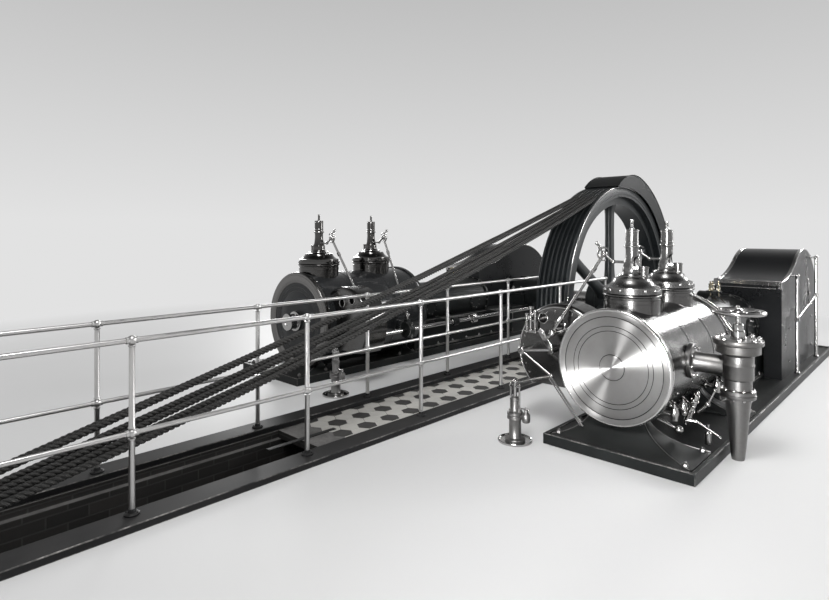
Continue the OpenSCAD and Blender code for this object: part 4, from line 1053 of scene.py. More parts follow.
    def lubricator(self, shop: Workshop) -> None:
        """Builds a sight-feed lubricator: dark table, glass pots with bright caps, and fine pipes."""
        x, y, z = self.at(0, -1.50, 2.20)
        table = Shells().lathe([(0.030, z - 0.004), (0.022, z + 0.02), (0.020, z + 0.06),
                                (0.075, z + 0.068), (0.075, z + 0.082), (0.070, z + 0.084)], (x, y, 0),
                               Axis.Z, 40)
        shop.piece(f"lubricator_{self.name}_table", table, Paint.BED, f"lubricator_{self.name}")
        bright, glass = Shells(), Shells()
        for a in (0, 120, 240):
            px, py = x + self.side * 0.045 * math.cos(math.radians(a)), y + 0.045 * math.sin(math.radians(a))
            glass.lathe([(0.016, z + 0.096), (0.0185, z + 0.10), (0.0185, z + 0.142), (0.016, z + 0.146)],
                        (px, py, 0), Axis.Z, 24)
            bright.lathe([(0.012, z + 0.08), (0.019, z + 0.084), (0.019, z + 0.096)], (px, py, 0), Axis.Z,
                         24)
            bright.lathe([(0.019, z + 0.146), (0.019, z + 0.157), (0.012, z + 0.160), (0.007, z + 0.162),
                          (0.007, z + 0.178), (0.010, z + 0.180), (0.010, z + 0.184)], (px, py, 0), Axis.Z,
                         24)
            bright.rod((px, py, z + 0.09), (px, py, z + 0.15), 0.003, 8)
            out = self.side * (0.09 + 0.02 * (a / 120))
            pipe = [(px, py, z + 0.08), (px, py, z + 0.03), (px + out * 0.3, py - 0.03, z + 0.012),
                    (px + out, py - 0.10, z - 0.025)]
            bright.tube(np.array(pipe), 0.004, (0, 1, 0), 8)
        shop.piece(f"lubricator_{self.name}_glass", glass, Paint.GLASS)
        shop.piece(f"lubricator_{self.name}_bright", bright, Paint.BRASS)

    def hood_trim(self, shop: Workshop) -> None:
        """Adds to a crank hood its bright strips along both side edges and its lip, its handles and screws.

        A strip follows the hood's outline: the hollow sweep from the lip, the round back and the
        straight wall behind it.
        """
        sweep, back = (-1.05, 3.88), (0.15, 1.79)
        line = arc(sweep, 1.51, -90, -60.2, 24) + arc(back, 0.90, 119.8, 0, 60) + [(1.05, 1.60),
                                                                                   (1.05, 1.385)]
        flat = np.array([(line[0][0], 2.30), (line[0][0], 2.34)] + line)
        strip = Shells()
        inner, outer = -0.125, 0.52
        for x in (inner + 0.017, outer - 0.017):
            path = np.stack([np.full(len(flat), self.at(x, 0, 0)[0]), flat[:, 0], flat[:, 1]], -1)
            strip.sweep(path, rounded_box(0.005, 0.032, 0.002, 1), (1, 0, 0))
        for x in (inner + 0.002, outer - 0.002):
            path = np.stack([np.full(len(flat), self.at(x, 0, 0)[0]), flat[:, 0], flat[:, 1]], -1)
            strip.tube(path, 0.007, (1, 0, 0), 8)
        mid = self.at((inner + outer) / 2, -1.053, 2.352)
        strip.prism(rounded_box(0.036, outer - inner, 0.004), (mid[0], mid[1] - 0.006, mid[2]), Axis.Y,
                    0.010, 0.002)
        strip.rod(self.at(inner, -1.052, 2.374), self.at(outer, -1.052, 2.374), 0.009)
        strip.rod(self.at(inner + 0.05, -1.056, 2.300), self.at(outer - 0.05, -1.056, 2.300), 0.006)
        for z in (1.50, 1.85):
            strip.rod(self.at(outer + 0.002, -0.70, z), self.at(outer + 0.012, -0.70, z), 0.012)
            strip.rod(self.at(outer + 0.002, 0.60, z), self.at(outer + 0.012, 0.60, z), 0.012)
        for y in (-0.35, 0.45):
            handle = [self.at(outer, y - 0.06, 2.02), self.at(outer + 0.03, y - 0.055, 2.02),
                      self.at(outer + 0.036, y, 2.02), self.at(outer + 0.03, y + 0.055, 2.02),
                      self.at(outer, y + 0.06, 2.02)]
            strip.tube(np.array(handle), 0.006, (0, 0, 1), 8)
        shop.piece(f"crank_hood_{self.name}_trim", strip, Paint.STEEL)

    def foot_edge_highlights(self, shop: Workshop) -> None:
        """Adds a pale steel bead down each corner of the cylinder feet, a painted highlight of the rounded
        edge, and the feet's bolts.

        The corners follow the feet's own sweep: from the plate, with the angle from 0 to 90 degrees,
        the place moves inward with its sine while the height grows with one minus its cosine.
        """
        lag_r, edge = self.lag_r, 0.038
        rise = 0.6 - 0.06 - 0.018 - lag_r * 0.8
        gap = 0.1 + 0.016
        rear_y = self.rear - 0.05 - 0.03 + 0.008
        feet = (((self.front - self.lead + edge, self.valves[0] - gap),
                 (self.front + 0.09, self.front + 0.19)),
                ((self.valves[1] + gap, self.rear - 0.008), (rear_y - 0.1, rear_y)))
        line, bolts = Shells(), Shells()
        inset = 0.04 * (1 - math.sqrt(0.5))
        angle = np.radians(np.linspace(0, 90, 25))
        for base_y, top_y in feet:
            for side_x, base_x in ((-1, edge - 0.43), (1, 0.65 - edge)):
                for n, side_y in ((0, -1), (1, 1)):
                    x = base_x + (side_x * lag_r * 0.5 - base_x) * np.sin(angle) - side_x * inset
                    y = base_y[n] + (top_y[n] - base_y[n]) * np.sin(angle) - side_y * inset
                    z = PLATE_Z + 0.018 + rise * (1 - np.cos(angle))
                    off = x**2 + (z - SHAFT_Z) ** 2
                    behind = (y > self.front + 0.075) | (off > (self.cover_r + 0.012) ** 2)
                    under = (off > (lag_r + 0.01) ** 2) & behind
                    x, y, z = x[under], y[under], z[under]
                    path = np.stack([self.side * (self.dist + x), y, z], -1)
                    # pale steel bead along the corner: a painted highlight of the rounded edge
                    line.sweep(path, ring(0.0045, 8), (0.3, 0.4, 1), np.linspace(1.1, 0.7, len(path)))
                    bolts.nuts(np.array([self.at(base_x - side_x * 0.05, base_y[n] - side_y * 0.05,
                                                 PLATE_Z + 0.0185)]), Axis.Z, 0.040, 0.022, 0.012)
        shop.piece(f"cylinder_foot_{self.name}_edges", line, Paint.VALVE)
        shop.piece(f"cylinder_foot_{self.name}_bolts", bolts, Paint.VALVE)

    def frame_details(self, shop: Workshop) -> None:
        """Adds the frame's machined edges, and the nuts of frame, guide, bearing and side-shaft brackets."""
        bright, bolts = Shells(), Shells()
        back, length = self.rear, -0.59 - self.rear
        for x in (-0.355, 0.355):
            cx = self.at(x, 0, 0)[0]
            bright.prism(rounded_box(0.030, 0.005, 0.002, 1), (cx, back + 0.01, FRAME_Z - 0.017), Axis.Y,
                         length - 0.02, 0.002)
            inner = x * 0.92
            places = np.array([self.at(inner, y, PLATE_Z + 0.0365) for y in np.arange(back + 0.15, -0.65,
                                                                                      0.30)])
            bolts.nuts(places, Axis.Z, 0.042, 0.024, 0.014)
        for y in (back + 0.0455, -1.0905):
            sign = 1 if y < -1.1 and y < back + 0.1 else -1
            radius = 0.314 if sign > 0 else 0.309
            rows = round_places(self.at(0, y, SHAFT_Z), radius, 18, Axis.Y, 0.17)
            rows = rows[rows[:, 2] > FRAME_Z + 0.03]
            bolts.nuts(rows, Axis.Y, 0.026, 0.016 * sign, 0.008)
        for y in (back + 0.33, -1.38):
            for side in (-1, 1):
                x = self.at(side * 0.3125, 0, 0)[0]
                bolts.nuts(round_places((x, y, SHAFT_Z), 0.092, 8, Axis.X, 0.2), Axis.X, 0.020,
                           0.012 * side * self.side, 0.005)
        for dx in (-0.355, -0.21):
            for dy in (-0.25, 0.25):
                bolts.nuts(np.array([self.at(dx, dy, SHAFT_Z + 0.08)]), Axis.Z, 0.056, 0.034, 0.022)
        for y in (back + 0.42, -1.15):
            for dz in (-0.205, -0.145):
                bolts.nuts(np.array([(self.at(-0.3305, 0, 0)[0], y + dx,
                                      SHAFT_Z + dz + 0.02) for dx in (-0.018, 0.018)]), Axis.X, 0.016,
                           -0.010 * self.side, 0.004)
        shop.piece(f"bed_frame_{self.name}_machined", bright, Paint.STEEL)
        shop.piece(f"bed_frame_{self.name}_nuts", bolts, Paint.VALVE)


NEAR = Engine("near", 1, 1.82, -3.95, 0.433, 1.42, (-3.577, -2.834), 0.205, 0.52, 0.23, Paint.LAGGING,
              Paint.DRUM, Paint.BONNET, Paint.TURNED, Paint.TURNED, Paint.BEAD, Paint.SHADED_SHEET)
FAR = Engine("far", -1, 1.70, -4.25, 0.545, 1.52, (-3.94, -3.13), 0.225, 0.64, 0.29,
             Paint.DARK, Paint.SHADED_SHEET, Paint.SHADED_SHEET, Paint.COVER, Paint.RIM, Paint.RIM, Paint.SHADED_SHEET)


@dataclass(frozen=True)
class Railing:
    """One railing: turned posts with ball joints and foot flanges, and two rails."""

    side: int
    out: float = 0.37
    base: float = 1.345
    pitch: float = 1.165
    posts: int = 7

    def build(self, shop: Workshop) -> None:
        """Builds its pieces."""
        side = self.side
        name = "near" if side > 0 else "far"
        first = -7.925 if side > 0 else -7.87
        x, base = side * self.out, self.base
        places = [first + self.pitch * i for i in range(self.posts)]
        rail, feet = Shells(), Shells()
        for y in places:
            feet.lathe([(0.042, base), (0.042, base + 0.008), (0.038, base + 0.011), (0.0225, base + 0.014),
                        (0.0195, base + 0.03), (0.0165, base + 0.034)], (x, y, 0), Axis.Z, 24)
            rail.lathe([(0.017, base + 0.02), (0.0165, 1.75), (0.020, 1.756), (0.020, 1.762)], (x, y, 0),
                       Axis.Z, 24)
            rail.lathe([(0.020, 1.818), (0.020, 1.824), (0.0165, 1.83), (0.0155, 2.262), (0.020, 2.268),
                        (0.020, 2.274)], (x, y, 0), Axis.Z, 24)
            feet.nuts(round_places((x, y, base + 0.0085), 0.031, 4, Axis.Z, 0.8), Axis.Z, 0.013, 0.006,
                      0.003)
            for z in (1.79, 2.30):
                rail.lathe(arc((0, 0), 0.027, -90, 90, 12), (x, y, z), Axis.Z, 24)
                rail.prism(ring(0.019, 24), (x, y - 0.034, z), Axis.Y, 0.068, 0.002)
        for z, radius in ((2.30, 0.015), (1.79, 0.014)):
            rail.rod((x, places[0], z), (x, places[-1], z), radius, 20)
        shop.piece(f"railing_{name}_turned", rail, Paint.RAIL, f"railing_{name}")
        shop.piece(f"railing_{name}_feet", feet, Paint.KERB)


@dataclass(frozen=True)
class StopValve:
    """The stop valve: top flange, body with collars, bolted flanges, cone and branch."""

    x: float = 2.54
    y: float = -3.50

    def build(self, shop: Workshop) -> None:
        """Builds its pieces."""
        x, y = self.x, self.y
        body = Shells().lathe([(0.040, 1.3), (0.044, 1.32), (0.060, 1.48), (0.078, 1.68), (0.084, 1.73),
                               (0.110, 1.736), (0.112, 1.739), (0.112, 1.760), (0.106, 1.762),
                               (0.106, 1.766), (0.112, 1.768), (0.112, 1.789), (0.108, 1.792),
                               (0.090, 1.797), (0.088, 1.86), (0.097, 1.868), (0.100, 1.875),
                               (0.100, 1.955), (0.104, 1.962), (0.104, 1.972), (0.100, 1.978),
                               (0.100, 2.030), (0.118, 2.042), (0.141, 2.052), (0.142, 2.060),
                               (0.142, 2.104), (0.148, 2.109), (0.158, 2.111), (0.160, 2.114),
                               (0.160, 2.139), (0.157, 2.145)], (x, y, 0), Axis.Z, 72)
        body.lathe([(0.128, -0.320), (0.130, -0.316), (0.130, -0.286), (0.124, -0.281), (0.082, -0.277),
                    (0.073, -0.262), (0.072, -0.08)], (x, y, SHAFT_Z + 0.045), Axis.X, 48)
        shop.piece("stop_valve_body", body, Paint.VALVE, "stop_valve")
        neck = Shells().lathe([
            (0.052, 2.144), (0.052, 2.158), (0.046, 2.162), (0.044, 2.200), (0.036, 2.206), (0.034, 2.212),
            (0.034, 2.246), (0.030, 2.252), (0.019, 2.256), (0.019, 2.2595),
        ], (x, y, 0), Axis.Z, 48)
        neck.nuts(round_places((x, y, 2.1445), 0.128, 8, Axis.Z, 0.3), Axis.Z, 0.030, 0.017, 0.010)
        neck.nuts(round_places((x, y, 1.7885), 0.096, 10, Axis.Z, 0.3), Axis.Z, 0.020, 0.012, 0.006)
        neck.nuts(round_places((x, y, 1.7395), 0.096, 10, Axis.Z, 0.3), Axis.Z, 0.020, -0.012, 0.006)
        neck.nuts(round_places((x - 0.2795, y, SHAFT_Z + 0.045), 0.106, 8, Axis.X, 0.2), Axis.X, 0.024,
                  0.013, 0.006)
        lever = np.array([(2.512, y, 2.185), (2.490, y, 2.215), (2.462, y, 2.255), (2.430, y, 2.305),
                          (2.392, y, 2.348), (2.345, y, 2.382), (2.290, y, 2.410), (2.238, y, 2.434)])
        neck.tube(lever, 0.0145, (0, 1, 0), 16).ball(lever[-1], 0.019)
        shop.piece("stop_valve_neck", neck, Paint.STEEL)


@dataclass(frozen=True)
class Handwheel:
    """The stop valve's handwheel: round rim, hub, S-shaped spokes and its spindle."""

    x: float = 2.54
    y: float = -3.50
    z: float = 2.333
    radius: float = 0.161
    grip: float = 0.0145
    spokes: int = 5

    def build(self, shop: Workshop) -> None:
        """Builds its pieces."""
        centre = np.array([self.x, self.y, self.z])
        wheel = Shells().hoop(centre, self.radius, self.grip, Axis.Z, 72, 16)
        wheel.lathe([(0.028, -0.022), (0.030, -0.018), (0.030, 0.014), (0.022, 0.020), (0.013, 0.023),
                     (0.012, 0.040), (0.009, 0.045)], centre, Axis.Z, 32)
        for i in range(self.spokes):
            share = np.linspace(0, 1, 12)
            angle = 2 * math.pi * i / self.spokes + 0.55 * np.sin(share * math.pi) * (1 - share * 0.4)
            out = 0.024 + share * 0.140
            path = centre + np.stack([out * np.cos(angle), out * np.sin(angle),
                                      0.010 * np.sin(share * math.pi)], -1)
            wheel.sweep(path, ring(0.0095, 10) * np.array([1.0, 0.7]), (0, 0, 1),
                        np.linspace(1.15, 0.85, 12))
        wheel.rod((self.x, self.y, 2.1655), (self.x, self.y, 2.32), 0.016, 24)
        shop.piece("handwheel_turned", wheel, Paint.STEEL, "handwheel", body="stop_valve_wheel")


@dataclass(frozen=True)
class PumpStand:
    """A small pump: bright dish, dark column and collar, outlet, two uprights, rod and cross-bar."""

    name: str
    x: float
    y: float

    def build(self, shop: Workshop) -> None:
        """Builds its pieces."""
        name, x, y = self.name, self.x, self.y
        z = FLOOR_Z
        dish = Shells().lathe([(0.060, z), (0.127, z), (0.130, z + 0.003), (0.130, z + 0.016),
                               (0.127, z + 0.019), (0.122, z + 0.016), (0.116, z + 0.009),
                               (0.060, z + 0.008)], (x, y, 0), Axis.Z, 64)
        shop.piece(f"{name}_dish", dish, Paint.STEEL, name)
        body = Shells().lathe([(0.078, z + 0.008), (0.078, z + 0.022), (0.074, z + 0.026),
                               (0.050, z + 0.030), (0.046, z + 0.036), (0.046, z + 0.165),
                               (0.050, z + 0.172), (0.060, z + 0.176), (0.060, z + 0.194),
                               (0.056, z + 0.198), (0.056, z + 0.202), (0.060, z + 0.206),
                               (0.060, z + 0.222), (0.056, z + 0.226), (0.038, z + 0.230),
                               (0.034, z + 0.238), (0.034, z + 0.318), (0.040, z + 0.322),
                               (0.040, z + 0.334), (0.034, z + 0.340), (0.016, z + 0.344)], (x, y, 0),
                              Axis.Z, 48)
        body.rod((x, y, z + 0.20), (x + 0.094, y, z + 0.20), 0.020)
        body.lathe([(0.012, z + 0.158), (0.026, z + 0.164), (0.030, z + 0.176), (0.030, z + 0.222),
                    (0.022, z + 0.234), (0.014, z + 0.238), (0.012, z + 0.262)], (x + 0.098, y, 0), Axis.Z,
                   28)
        body.nuts(round_places((x, y, z + 0.2065), 0.049, 6, Axis.Z), Axis.Z, 0.016, 0.026, 0.006)
        shop.piece(f"{name}_body", body, Paint.VALVE)
        bright = Shells().rod((x, y, z + 0.34), (x, y, z + 0.455), 0.014)
        for s in (-0.038, 0.038):
            bright.rod((x + s, y, z + 0.22), (x + s, y, z + 0.440), 0.0075)
            bright.nuts(np.array([(x + s, y, z + 0.2255)]), Axis.Z, 0.022, 0.012)
            bright.nuts(np.array([(x + s, y, z + 0.4255)]), Axis.Z, 0.020, 0.010, 0.006)
        bright.prism(rounded_box(0.100, 0.026, 0.006), (x, y, z + 0.412), Axis.Z, 0.013, 0.003)
        bright.prism(rounded_box(0.030, 0.030, 0.008), (x, y, z + 0.438), Axis.Z, 0.025, 0.004)
        bright.rod((x, y - 0.022, z + 0.45), (x, y + 0.022, z + 0.45), 0.011)
        for turn in (0.6, 2.4):
            tip = (x + 0.098 + 0.045 * math.cos(turn), y - 0.045 * math.sin(turn), z + 0.268)
            bright.rod((x + 0.098, y, z + 0.262), tip, 0.005).ball(tip, 0.008)
        bright.rod((x + 0.098, y, z + 0.255), (x + 0.098, y, z + 0.275), 0.009)
        shop.piece(f"{name}_bright", bright, Paint.STEEL)


@dataclass(frozen=True)
class Flywheel:
    """The flywheel: grooved rim with beads and an inner flange, arms, hub, key bolts, and a bright steel ring
    at each rim edge as a painted highlight.
    """

    radius: float = 1.65

    def build(self, shop: Workshop) -> None:
        """Builds its pieces."""
        rim, r = [], self.radius
        edge = [(r - 0.115, -0.2150), (r - 0.109, -0.22), (r - 0.01, -0.22), (r - 0.003, -0.217),
                (r, -0.210), (r - 0.001, -0.190)]
        groove = [(r - 0.030 - 0.0245 * math.cos(a), 0.0245 * math.sin(a)) for a in np.linspace(-1.35, 1.35,
                                                                                                9)]
        for i in range(6):
            c = (i - 2.5) * ROPE_PITCH
            rim += [(r - 0.0005, c - 0.027), (r - 0.006, c - 0.0245)] + [(x, c + z) for x, z in groove]
            rim += [(r - 0.006, c + 0.0245), (r - 0.0005, c + 0.027)]
        back = [(r - 0.26, 0.14), (r - 0.26, -0.14), (r - 0.151, -0.14), (r - 0.151, -0.215)]
        outline = np.array(edge + rim + [(x, -z) for x, z in edge[::-1]]
                           + [(r - 0.151, 0.215), (r - 0.151, 0.14)] + back)
        angle = np.linspace(0, 2 * math.pi, 240, endpoint=False)
        turn = np.stack([np.zeros_like(angle), np.cos(angle), np.sin(angle)], -1)
        surface = outline[None, :, :1] * turn[:, None] + outline[None, :, 1:] * np.array([1.0, 0, 0])
        body = Shells().grid(surface + np.array([0, 0, SHAFT_Z]), True)
        hub = [(0.1352, -0.24), (0.28, -0.24), (0.29, -0.23), (0.29, -0.10), (0.30, -0.09), (0.30, 0.09),
               (0.29, 0.10), (0.29, 0.23), (0.28, 0.24), (0.1352, 0.24)]
        body.grid(turned(np.array(hub), (0, 0, SHAFT_Z), Axis.X, 64).transpose(1, 0, 2), True)
        share = np.array([0.26, 0.30, 0.36, 0.46, 0.6, 1.0, 1.26, 1.33, 1.37, 1.40])
        flare = np.array([1.5, 1.32, 1.14, 1.04, 1.0, 0.96, 1.0, 1.10, 1.28, 1.45])
        for i in range(6):
            a = math.radians(60 * i)
            path = np.stack([np.zeros_like(share), -share * math.sin(a), SHAFT_Z + share * math.cos(a)], -1)
            stadium = np.array(arc((0, 0.025), 0.055, 0, 180, 8) + arc((0, -0.025), 0.055, 180, 360, 8))
            body.sweep(path, stadium[:, ::-1], (1, 0, 0), flare)
        shop.piece("flywheel_casting", body, Paint.WHEEL, "flywheel", body="wheel")
        bolts = Shells()
        for side in (-1, 1):
            seats = round_places((side * 0.24, 0, SHAFT_Z), 0.215, 12, Axis.X, 0.26)
            bolts.nuts(seats, Axis.X, 0.046, side * 0.026, 0.014)
            # bright steel ring at the rim's side edge: a painted highlight of the rounded edge
            bolts.hoop((side * 0.214, 0, SHAFT_Z), 1.638, 0.0085, Axis.X, 240)
        shop.piece("flywheel_bright", bolts, Paint.STEEL, body="wheel")


@dataclass(frozen=True)
class Crankshaft:
    """The crankshaft: shaft with collars and swelling, two crank discs and their pins."""

    throw: float = 0.42

    def build(self, shop: Workshop) -> None:
        """Builds its pieces."""
        shaft = Shells().lathe([(0.110, -1.62), (0.110, -1.10), (0.125, -1.095), (0.125, -1.055),
                                (0.110, -1.05), (0.110, -0.30), (0.135, -0.24), (0.135, 0.24),
                                (0.110, 0.30), (0.110, 1.17), (0.125, 1.175), (0.125, 1.215), (0.110, 1.22),
                                (0.110, 1.74)], (0, 0, SHAFT_Z), Axis.X, 64)
        for e, angle in ((NEAR, 60), (FAR, 150)):
            x = e.at(-0.10, 0, 0)[0]
            a = math.radians(angle)
            pin = (x, -self.throw * math.sin(a), SHAFT_Z + self.throw * math.cos(a))
            disc = [(0.49, 0.0), (0.5, 0.006), (0.5, 0.084), (0.49, 0.09)]
            shaft.lathe([(u, e.side * v) for u, v in disc], (x, 0, SHAFT_Z), Axis.X, 96)
            shaft.lathe([(0.06, 0.0), (0.06, e.side * 0.232), (0.054, e.side * 0.24)], pin, Axis.X, 40)
        shop.piece("crankshaft_turned", shaft, Paint.STEEL, "crankshaft", body="wheel")


@dataclass(frozen=True)
class Lay:
    """How one rope hangs: the radius of its upper run, the dip of its lower one, and its drift sideways."""

    sag: float
    dip: float
    drift: float

    def route(self, spacing: float) -> tuple[Array, Array]:
        """The way of the rope in the frame, round wheel and sheave, as closely spaced points.

        The upper run is an arc of radius `sag` that touches wheel and sheave. With both circles'
        centres and radii known, its centre lies where the circles of radius sag + wheel and
        sag + sheave round them cross. The lower run is their straight tangent, lowered by `dip`
        times the square of the sine of its share. On both runs the rope drifts sideways by a
        slow wave that is nought at their ends.

        Args:
            spacing: The wanted distance of the points.

        Returns:
            The points as (places, 3), and how far along the rope each lies.
        """
        wheel_c, sheave_c = np.array([0.0, SHAFT_Z]), np.array([-8.85, 0.76])
        wheel_r, sheave_r, sag = 1.62, 0.45, self.sag
        span = wheel_c - sheave_c
        length = float(np.linalg.norm(span))
        along = ((sag + sheave_r) ** 2 - (sag + wheel_r) ** 2 + length**2) / (2 * length)
        off = math.sqrt((sag + sheave_r) ** 2 - along**2)
        way = span / length
        centre = sheave_c + along * way + off * np.array([-way[1], way[0]])
        top_wheel = math.atan2(*(centre - wheel_c)[::-1])
        top_sheave = math.atan2(*(centre - sheave_c)[::-1])
        low = math.atan2(way[1], way[0]) - math.pi / 2 + math.asin((sheave_r - wheel_r) / length)

        def stretch(c: Array, r: float, a: float, b: float) -> Array:
            """Points of an arc in the plane across the shafts, without its last one."""
            t = np.linspace(a, b, max(2, int(abs(b - a) * r / 0.02)), endpoint=False)
            return np.pad(c + r * np.stack([np.cos(t), np.sin(t)], -1), ((0, 0), (1, 0)))

        upper = stretch(centre, sag, top_wheel + math.pi, top_sheave + math.pi)
        share = np.linspace(0, 1, len(upper))
        upper[:, 0] += self.drift * np.sin(math.pi * share) * np.sin(3.1 * math.pi * share + 60 * self.dip)
        on_sheave = stretch(sheave_c, sheave_r, top_sheave, low + 2 * math.pi)
        start = np.pad(sheave_c + sheave_r * np.array([math.cos(low), math.sin(low)]), (1, 0))
        end = np.pad(wheel_c + wheel_r * np.array([math.cos(low), math.sin(low)]), (1, 0))
        share = np.linspace(0, 1, 400, endpoint=False)[:, None]
        lower = start + share * (end - start)
        lower[:, 2] -= self.dip * np.sin(math.pi * share[:, 0]) ** 2
        lower[:, 0] -= 0.8 * self.drift * np.sin(math.pi * share[:, 0]) ** 2
        corners = np.vstack([stretch(wheel_c, wheel_r, low, top_wheel), upper, on_sheave, lower])
        closed = np.vstack([corners, corners[:1]])
        run = np.concatenate([[0], np.cumsum(np.linalg.norm(np.diff(closed, axis=0), axis=1))])
        s = np.linspace(0, run[-1], int(run[-1] / spacing), endpoint=False)
        return np.stack([np.interp(s, run, closed[:, k]) for k in range(3)], -1), s


LAYS = (
    Lay(118.0, 0.045, 0.018), Lay(135.0, 0.010, -0.012), Lay(72.0, 0.060, 0.020),
    Lay(64.0, 0.025, -0.020), Lay(57.0, 0.035, 0.016), Lay(53.0, 0.070, -0.018),
)


@dataclass(frozen=True)
class Ropes:
    """The six ropes, each of three strands laid round each other and here and there a little slack."""

    lays: tuple[Lay, ...] = LAYS

    def build(self, shop: Workshop) -> None:
        """Builds its pieces."""
        angle = np.linspace(0, 2 * math.pi, 12, endpoint=False)
        lobes = 0.0205 + 0.0036 * np.cos(3 * angle) - 0.0008 * np.cos(6 * angle)
        for i, lay in enumerate(self.lays):
            path, s = lay.route(ROPE_TURN / 12)
            path[:, 0] += (i - 2.5) * ROPE_PITCH
            total = s[-1] + s[1]
            turn = 2 * math.pi * round(total / ROPE_TURN) * s / total + i
            around = angle[None] + turn[:, None]
            lap = 2 * math.pi * s / total
            swell = 1 + 0.045 * np.sin(9 * lap + i) + 0.03 * np.sin(41 * lap)
            outline = lobes[None, :, None] * np.stack([np.cos(around), np.sin(around)], -1)
            rows = swept(path, outline * np.minimum(swell, 1.0)[:, None, None], (1, 0, 0), None, True)
            uv = np.stack(np.broadcast_arrays(s[:, None], angle[None] / (2 * math.pi)), -1)
            laid = Shells().grid(rows, True, uv, (total, 1.0))
            stands_for = ("ropes",) if i == 0 else ()
            shop.piece(f"rope_{i + 1}", laid, Paint.ROPE, *stands_for, uv=True)


@dataclass(frozen=True)
class WheelGuard:
    """The wheel's sheet guard: a trough round the back of the wheel, its nose drawn down to the rim.

    Each ring is the trough's U-shaped section of outer radius, half width and sheet thickness. The
    section starts where each of its radii meets the floor, and all end at the same angle. At both
    ends the inner points close on the outer ones.
    """

    outer: float = 1.87
    inner: float = 1.63
    half: float = 0.254
    sheet: float = 0.008
    end_deg: float = 99.0
    nose_drop: float = 0.205

    def build(self, shop: Workshop) -> None:
        """Builds its pieces."""
        outer, inner, half, sheet = self.outer, self.inner, self.half, self.sheet
        end = math.radians(self.end_deg)
        share = np.linspace(0, 1, 97)
        fall = np.clip((share - 0.78) / 0.22, 0, 1)
        radius = outer - self.nose_drop * fall**2
        lip = np.full_like(share, inner)
        corners = [(lip, -half), (radius, -half), (radius, half), (lip, half), (lip, half - sheet),
                   (radius - sheet, half - sheet), (radius - sheet, sheet - half), (lip, sheet - half)]
        rings = []
        for r, x in corners:
            start = -np.arcsin((SHAFT_Z - FLOOR_Z) / r)
            a = start + share * (end - start)
            rings.append(np.stack([np.full_like(a, x), r * np.cos(a), SHAFT_Z + r * np.sin(a)], -1))
        surface = np.stack(rings, 1)
        closed = surface[:, [0, 1, 2, 3, 3, 2, 1, 0]]
        guard = Shells().grid(np.concatenate([closed[:1], surface, closed[-1:]]))
        foot_y = outer * math.cos(math.asin((SHAFT_Z - FLOOR_Z) / outer))
        guard.prism(rounded_box(0.07, 2 * half, 0.004), (0, foot_y + 0.034, FLOOR_Z), Axis.Z, sheet, 0.001)
        shop.piece("wheel_guard_sheet", guard, Paint.GUARD, "wheel_guard")
        trim = Shells()
        for x in (-half, half):
            rim = np.stack([np.full_like(share, x), surface[:, 1, 1], surface[:, 1, 2]], -1)
            trim.tube(rim[2:], 0.006, (1, 0, 0), 8)
        trim.rod((-half, surface[-1, 1, 1], surface[-1, 1, 2]),
                 (half, surface[-1, 1, 1], surface[-1, 1, 2]), 0.006)
        shop.piece("wheel_guard_beads", trim, Paint.GUARD)


@dataclass(frozen=True)
class HoodRail:
    """The rail beside the near hood: two posts with balls and brackets, a bar and oil cups."""

    x: float = 2.40

    def build(self, shop: Workshop) -> None:
        """Builds its pieces."""
        x, rail = self.x, Shells()
        posts = ((-0.60, 2.418), (0.56, 2.584))
        for y, top in posts:
            rail.lathe([(0.030, PLATE_Z), (0.030, PLATE_Z + 0.008), (0.024, PLATE_Z + 0.014),
                        (0.017, PLATE_Z + 0.03), (0.017, top - 0.03), (0.020, top - 0.026),
                        (0.020, top - 0.018)], (x, y, 0), Axis.Z, 24)
            rail.ball((x, y, top), 0.0235)
            rail.rod((2.335, y, top), (x, y, top), 0.011)
            rail.rod((2.338, y, top), (2.348, y, top), 0.024)
        rail.rod((x, -0.60, 1.942), (x, 0.56, 2.119), 0.010)
        for y, z in ((-0.60, 1.942), (0.56, 2.119)):
            rail.prism(ring(0.024, 20), (x, y - 0.02, z), Axis.Y, 0.04, 0.003)
        cup_y, foot = 0.16, 2.058
        rail.rod((x, cup_y, foot), (x - 0.02, cup_y - 0.02, 2.36), 0.006)
        for share, radius in ((0.1, 0.016), (0.35, 0.012), (0.42, 0.018), (0.7, 0.010), (0.78, 0.014),
                              (0.95, 0.011)):
            z = foot + share * (2.36 - foot)
            rail.rod((x - 0.02 * share, cup_y - 0.02 * share, z - 0.012),
                     (x - 0.02 * share, cup_y - 0.02 * share, z + 0.012), radius, 12)
        shop.piece("hood_rail_turned", rail, Paint.STEEL, "hood_rail")


@dataclass(frozen=True)
class TailGland:
    """The low-pressure cover's gland with its collar and two nuts."""

    x: float = -1.70
    y: float = -4.25

    def build(self, shop: Workshop) -> None:
        """Builds its pieces."""
        x, y = self.x, self.y
        gland = Shells().lathe([(0.104, 0.0), (0.110, -0.004), (0.110, -0.028), (0.106, -0.031),
                                (0.084, -0.033), (0.080, -0.038), (0.080, -0.100), (0.093, -0.102),
                                (0.095, -0.105), (0.095, -0.126), (0.091, -0.130), (0.040, -0.130),
                                (0.036, -0.122), (0.028, -0.122)], (x, y, SHAFT_Z), Axis.Y, 64)
        gland.nuts(round_places((x, y - 0.1005, SHAFT_Z), 0.086, 2, Axis.Y, 0.4), Axis.Y, 0.026, 0.05,
                   0.014)
        shop.piece("tail_gland_turned", gland, Paint.STEEL, "tail_gland")


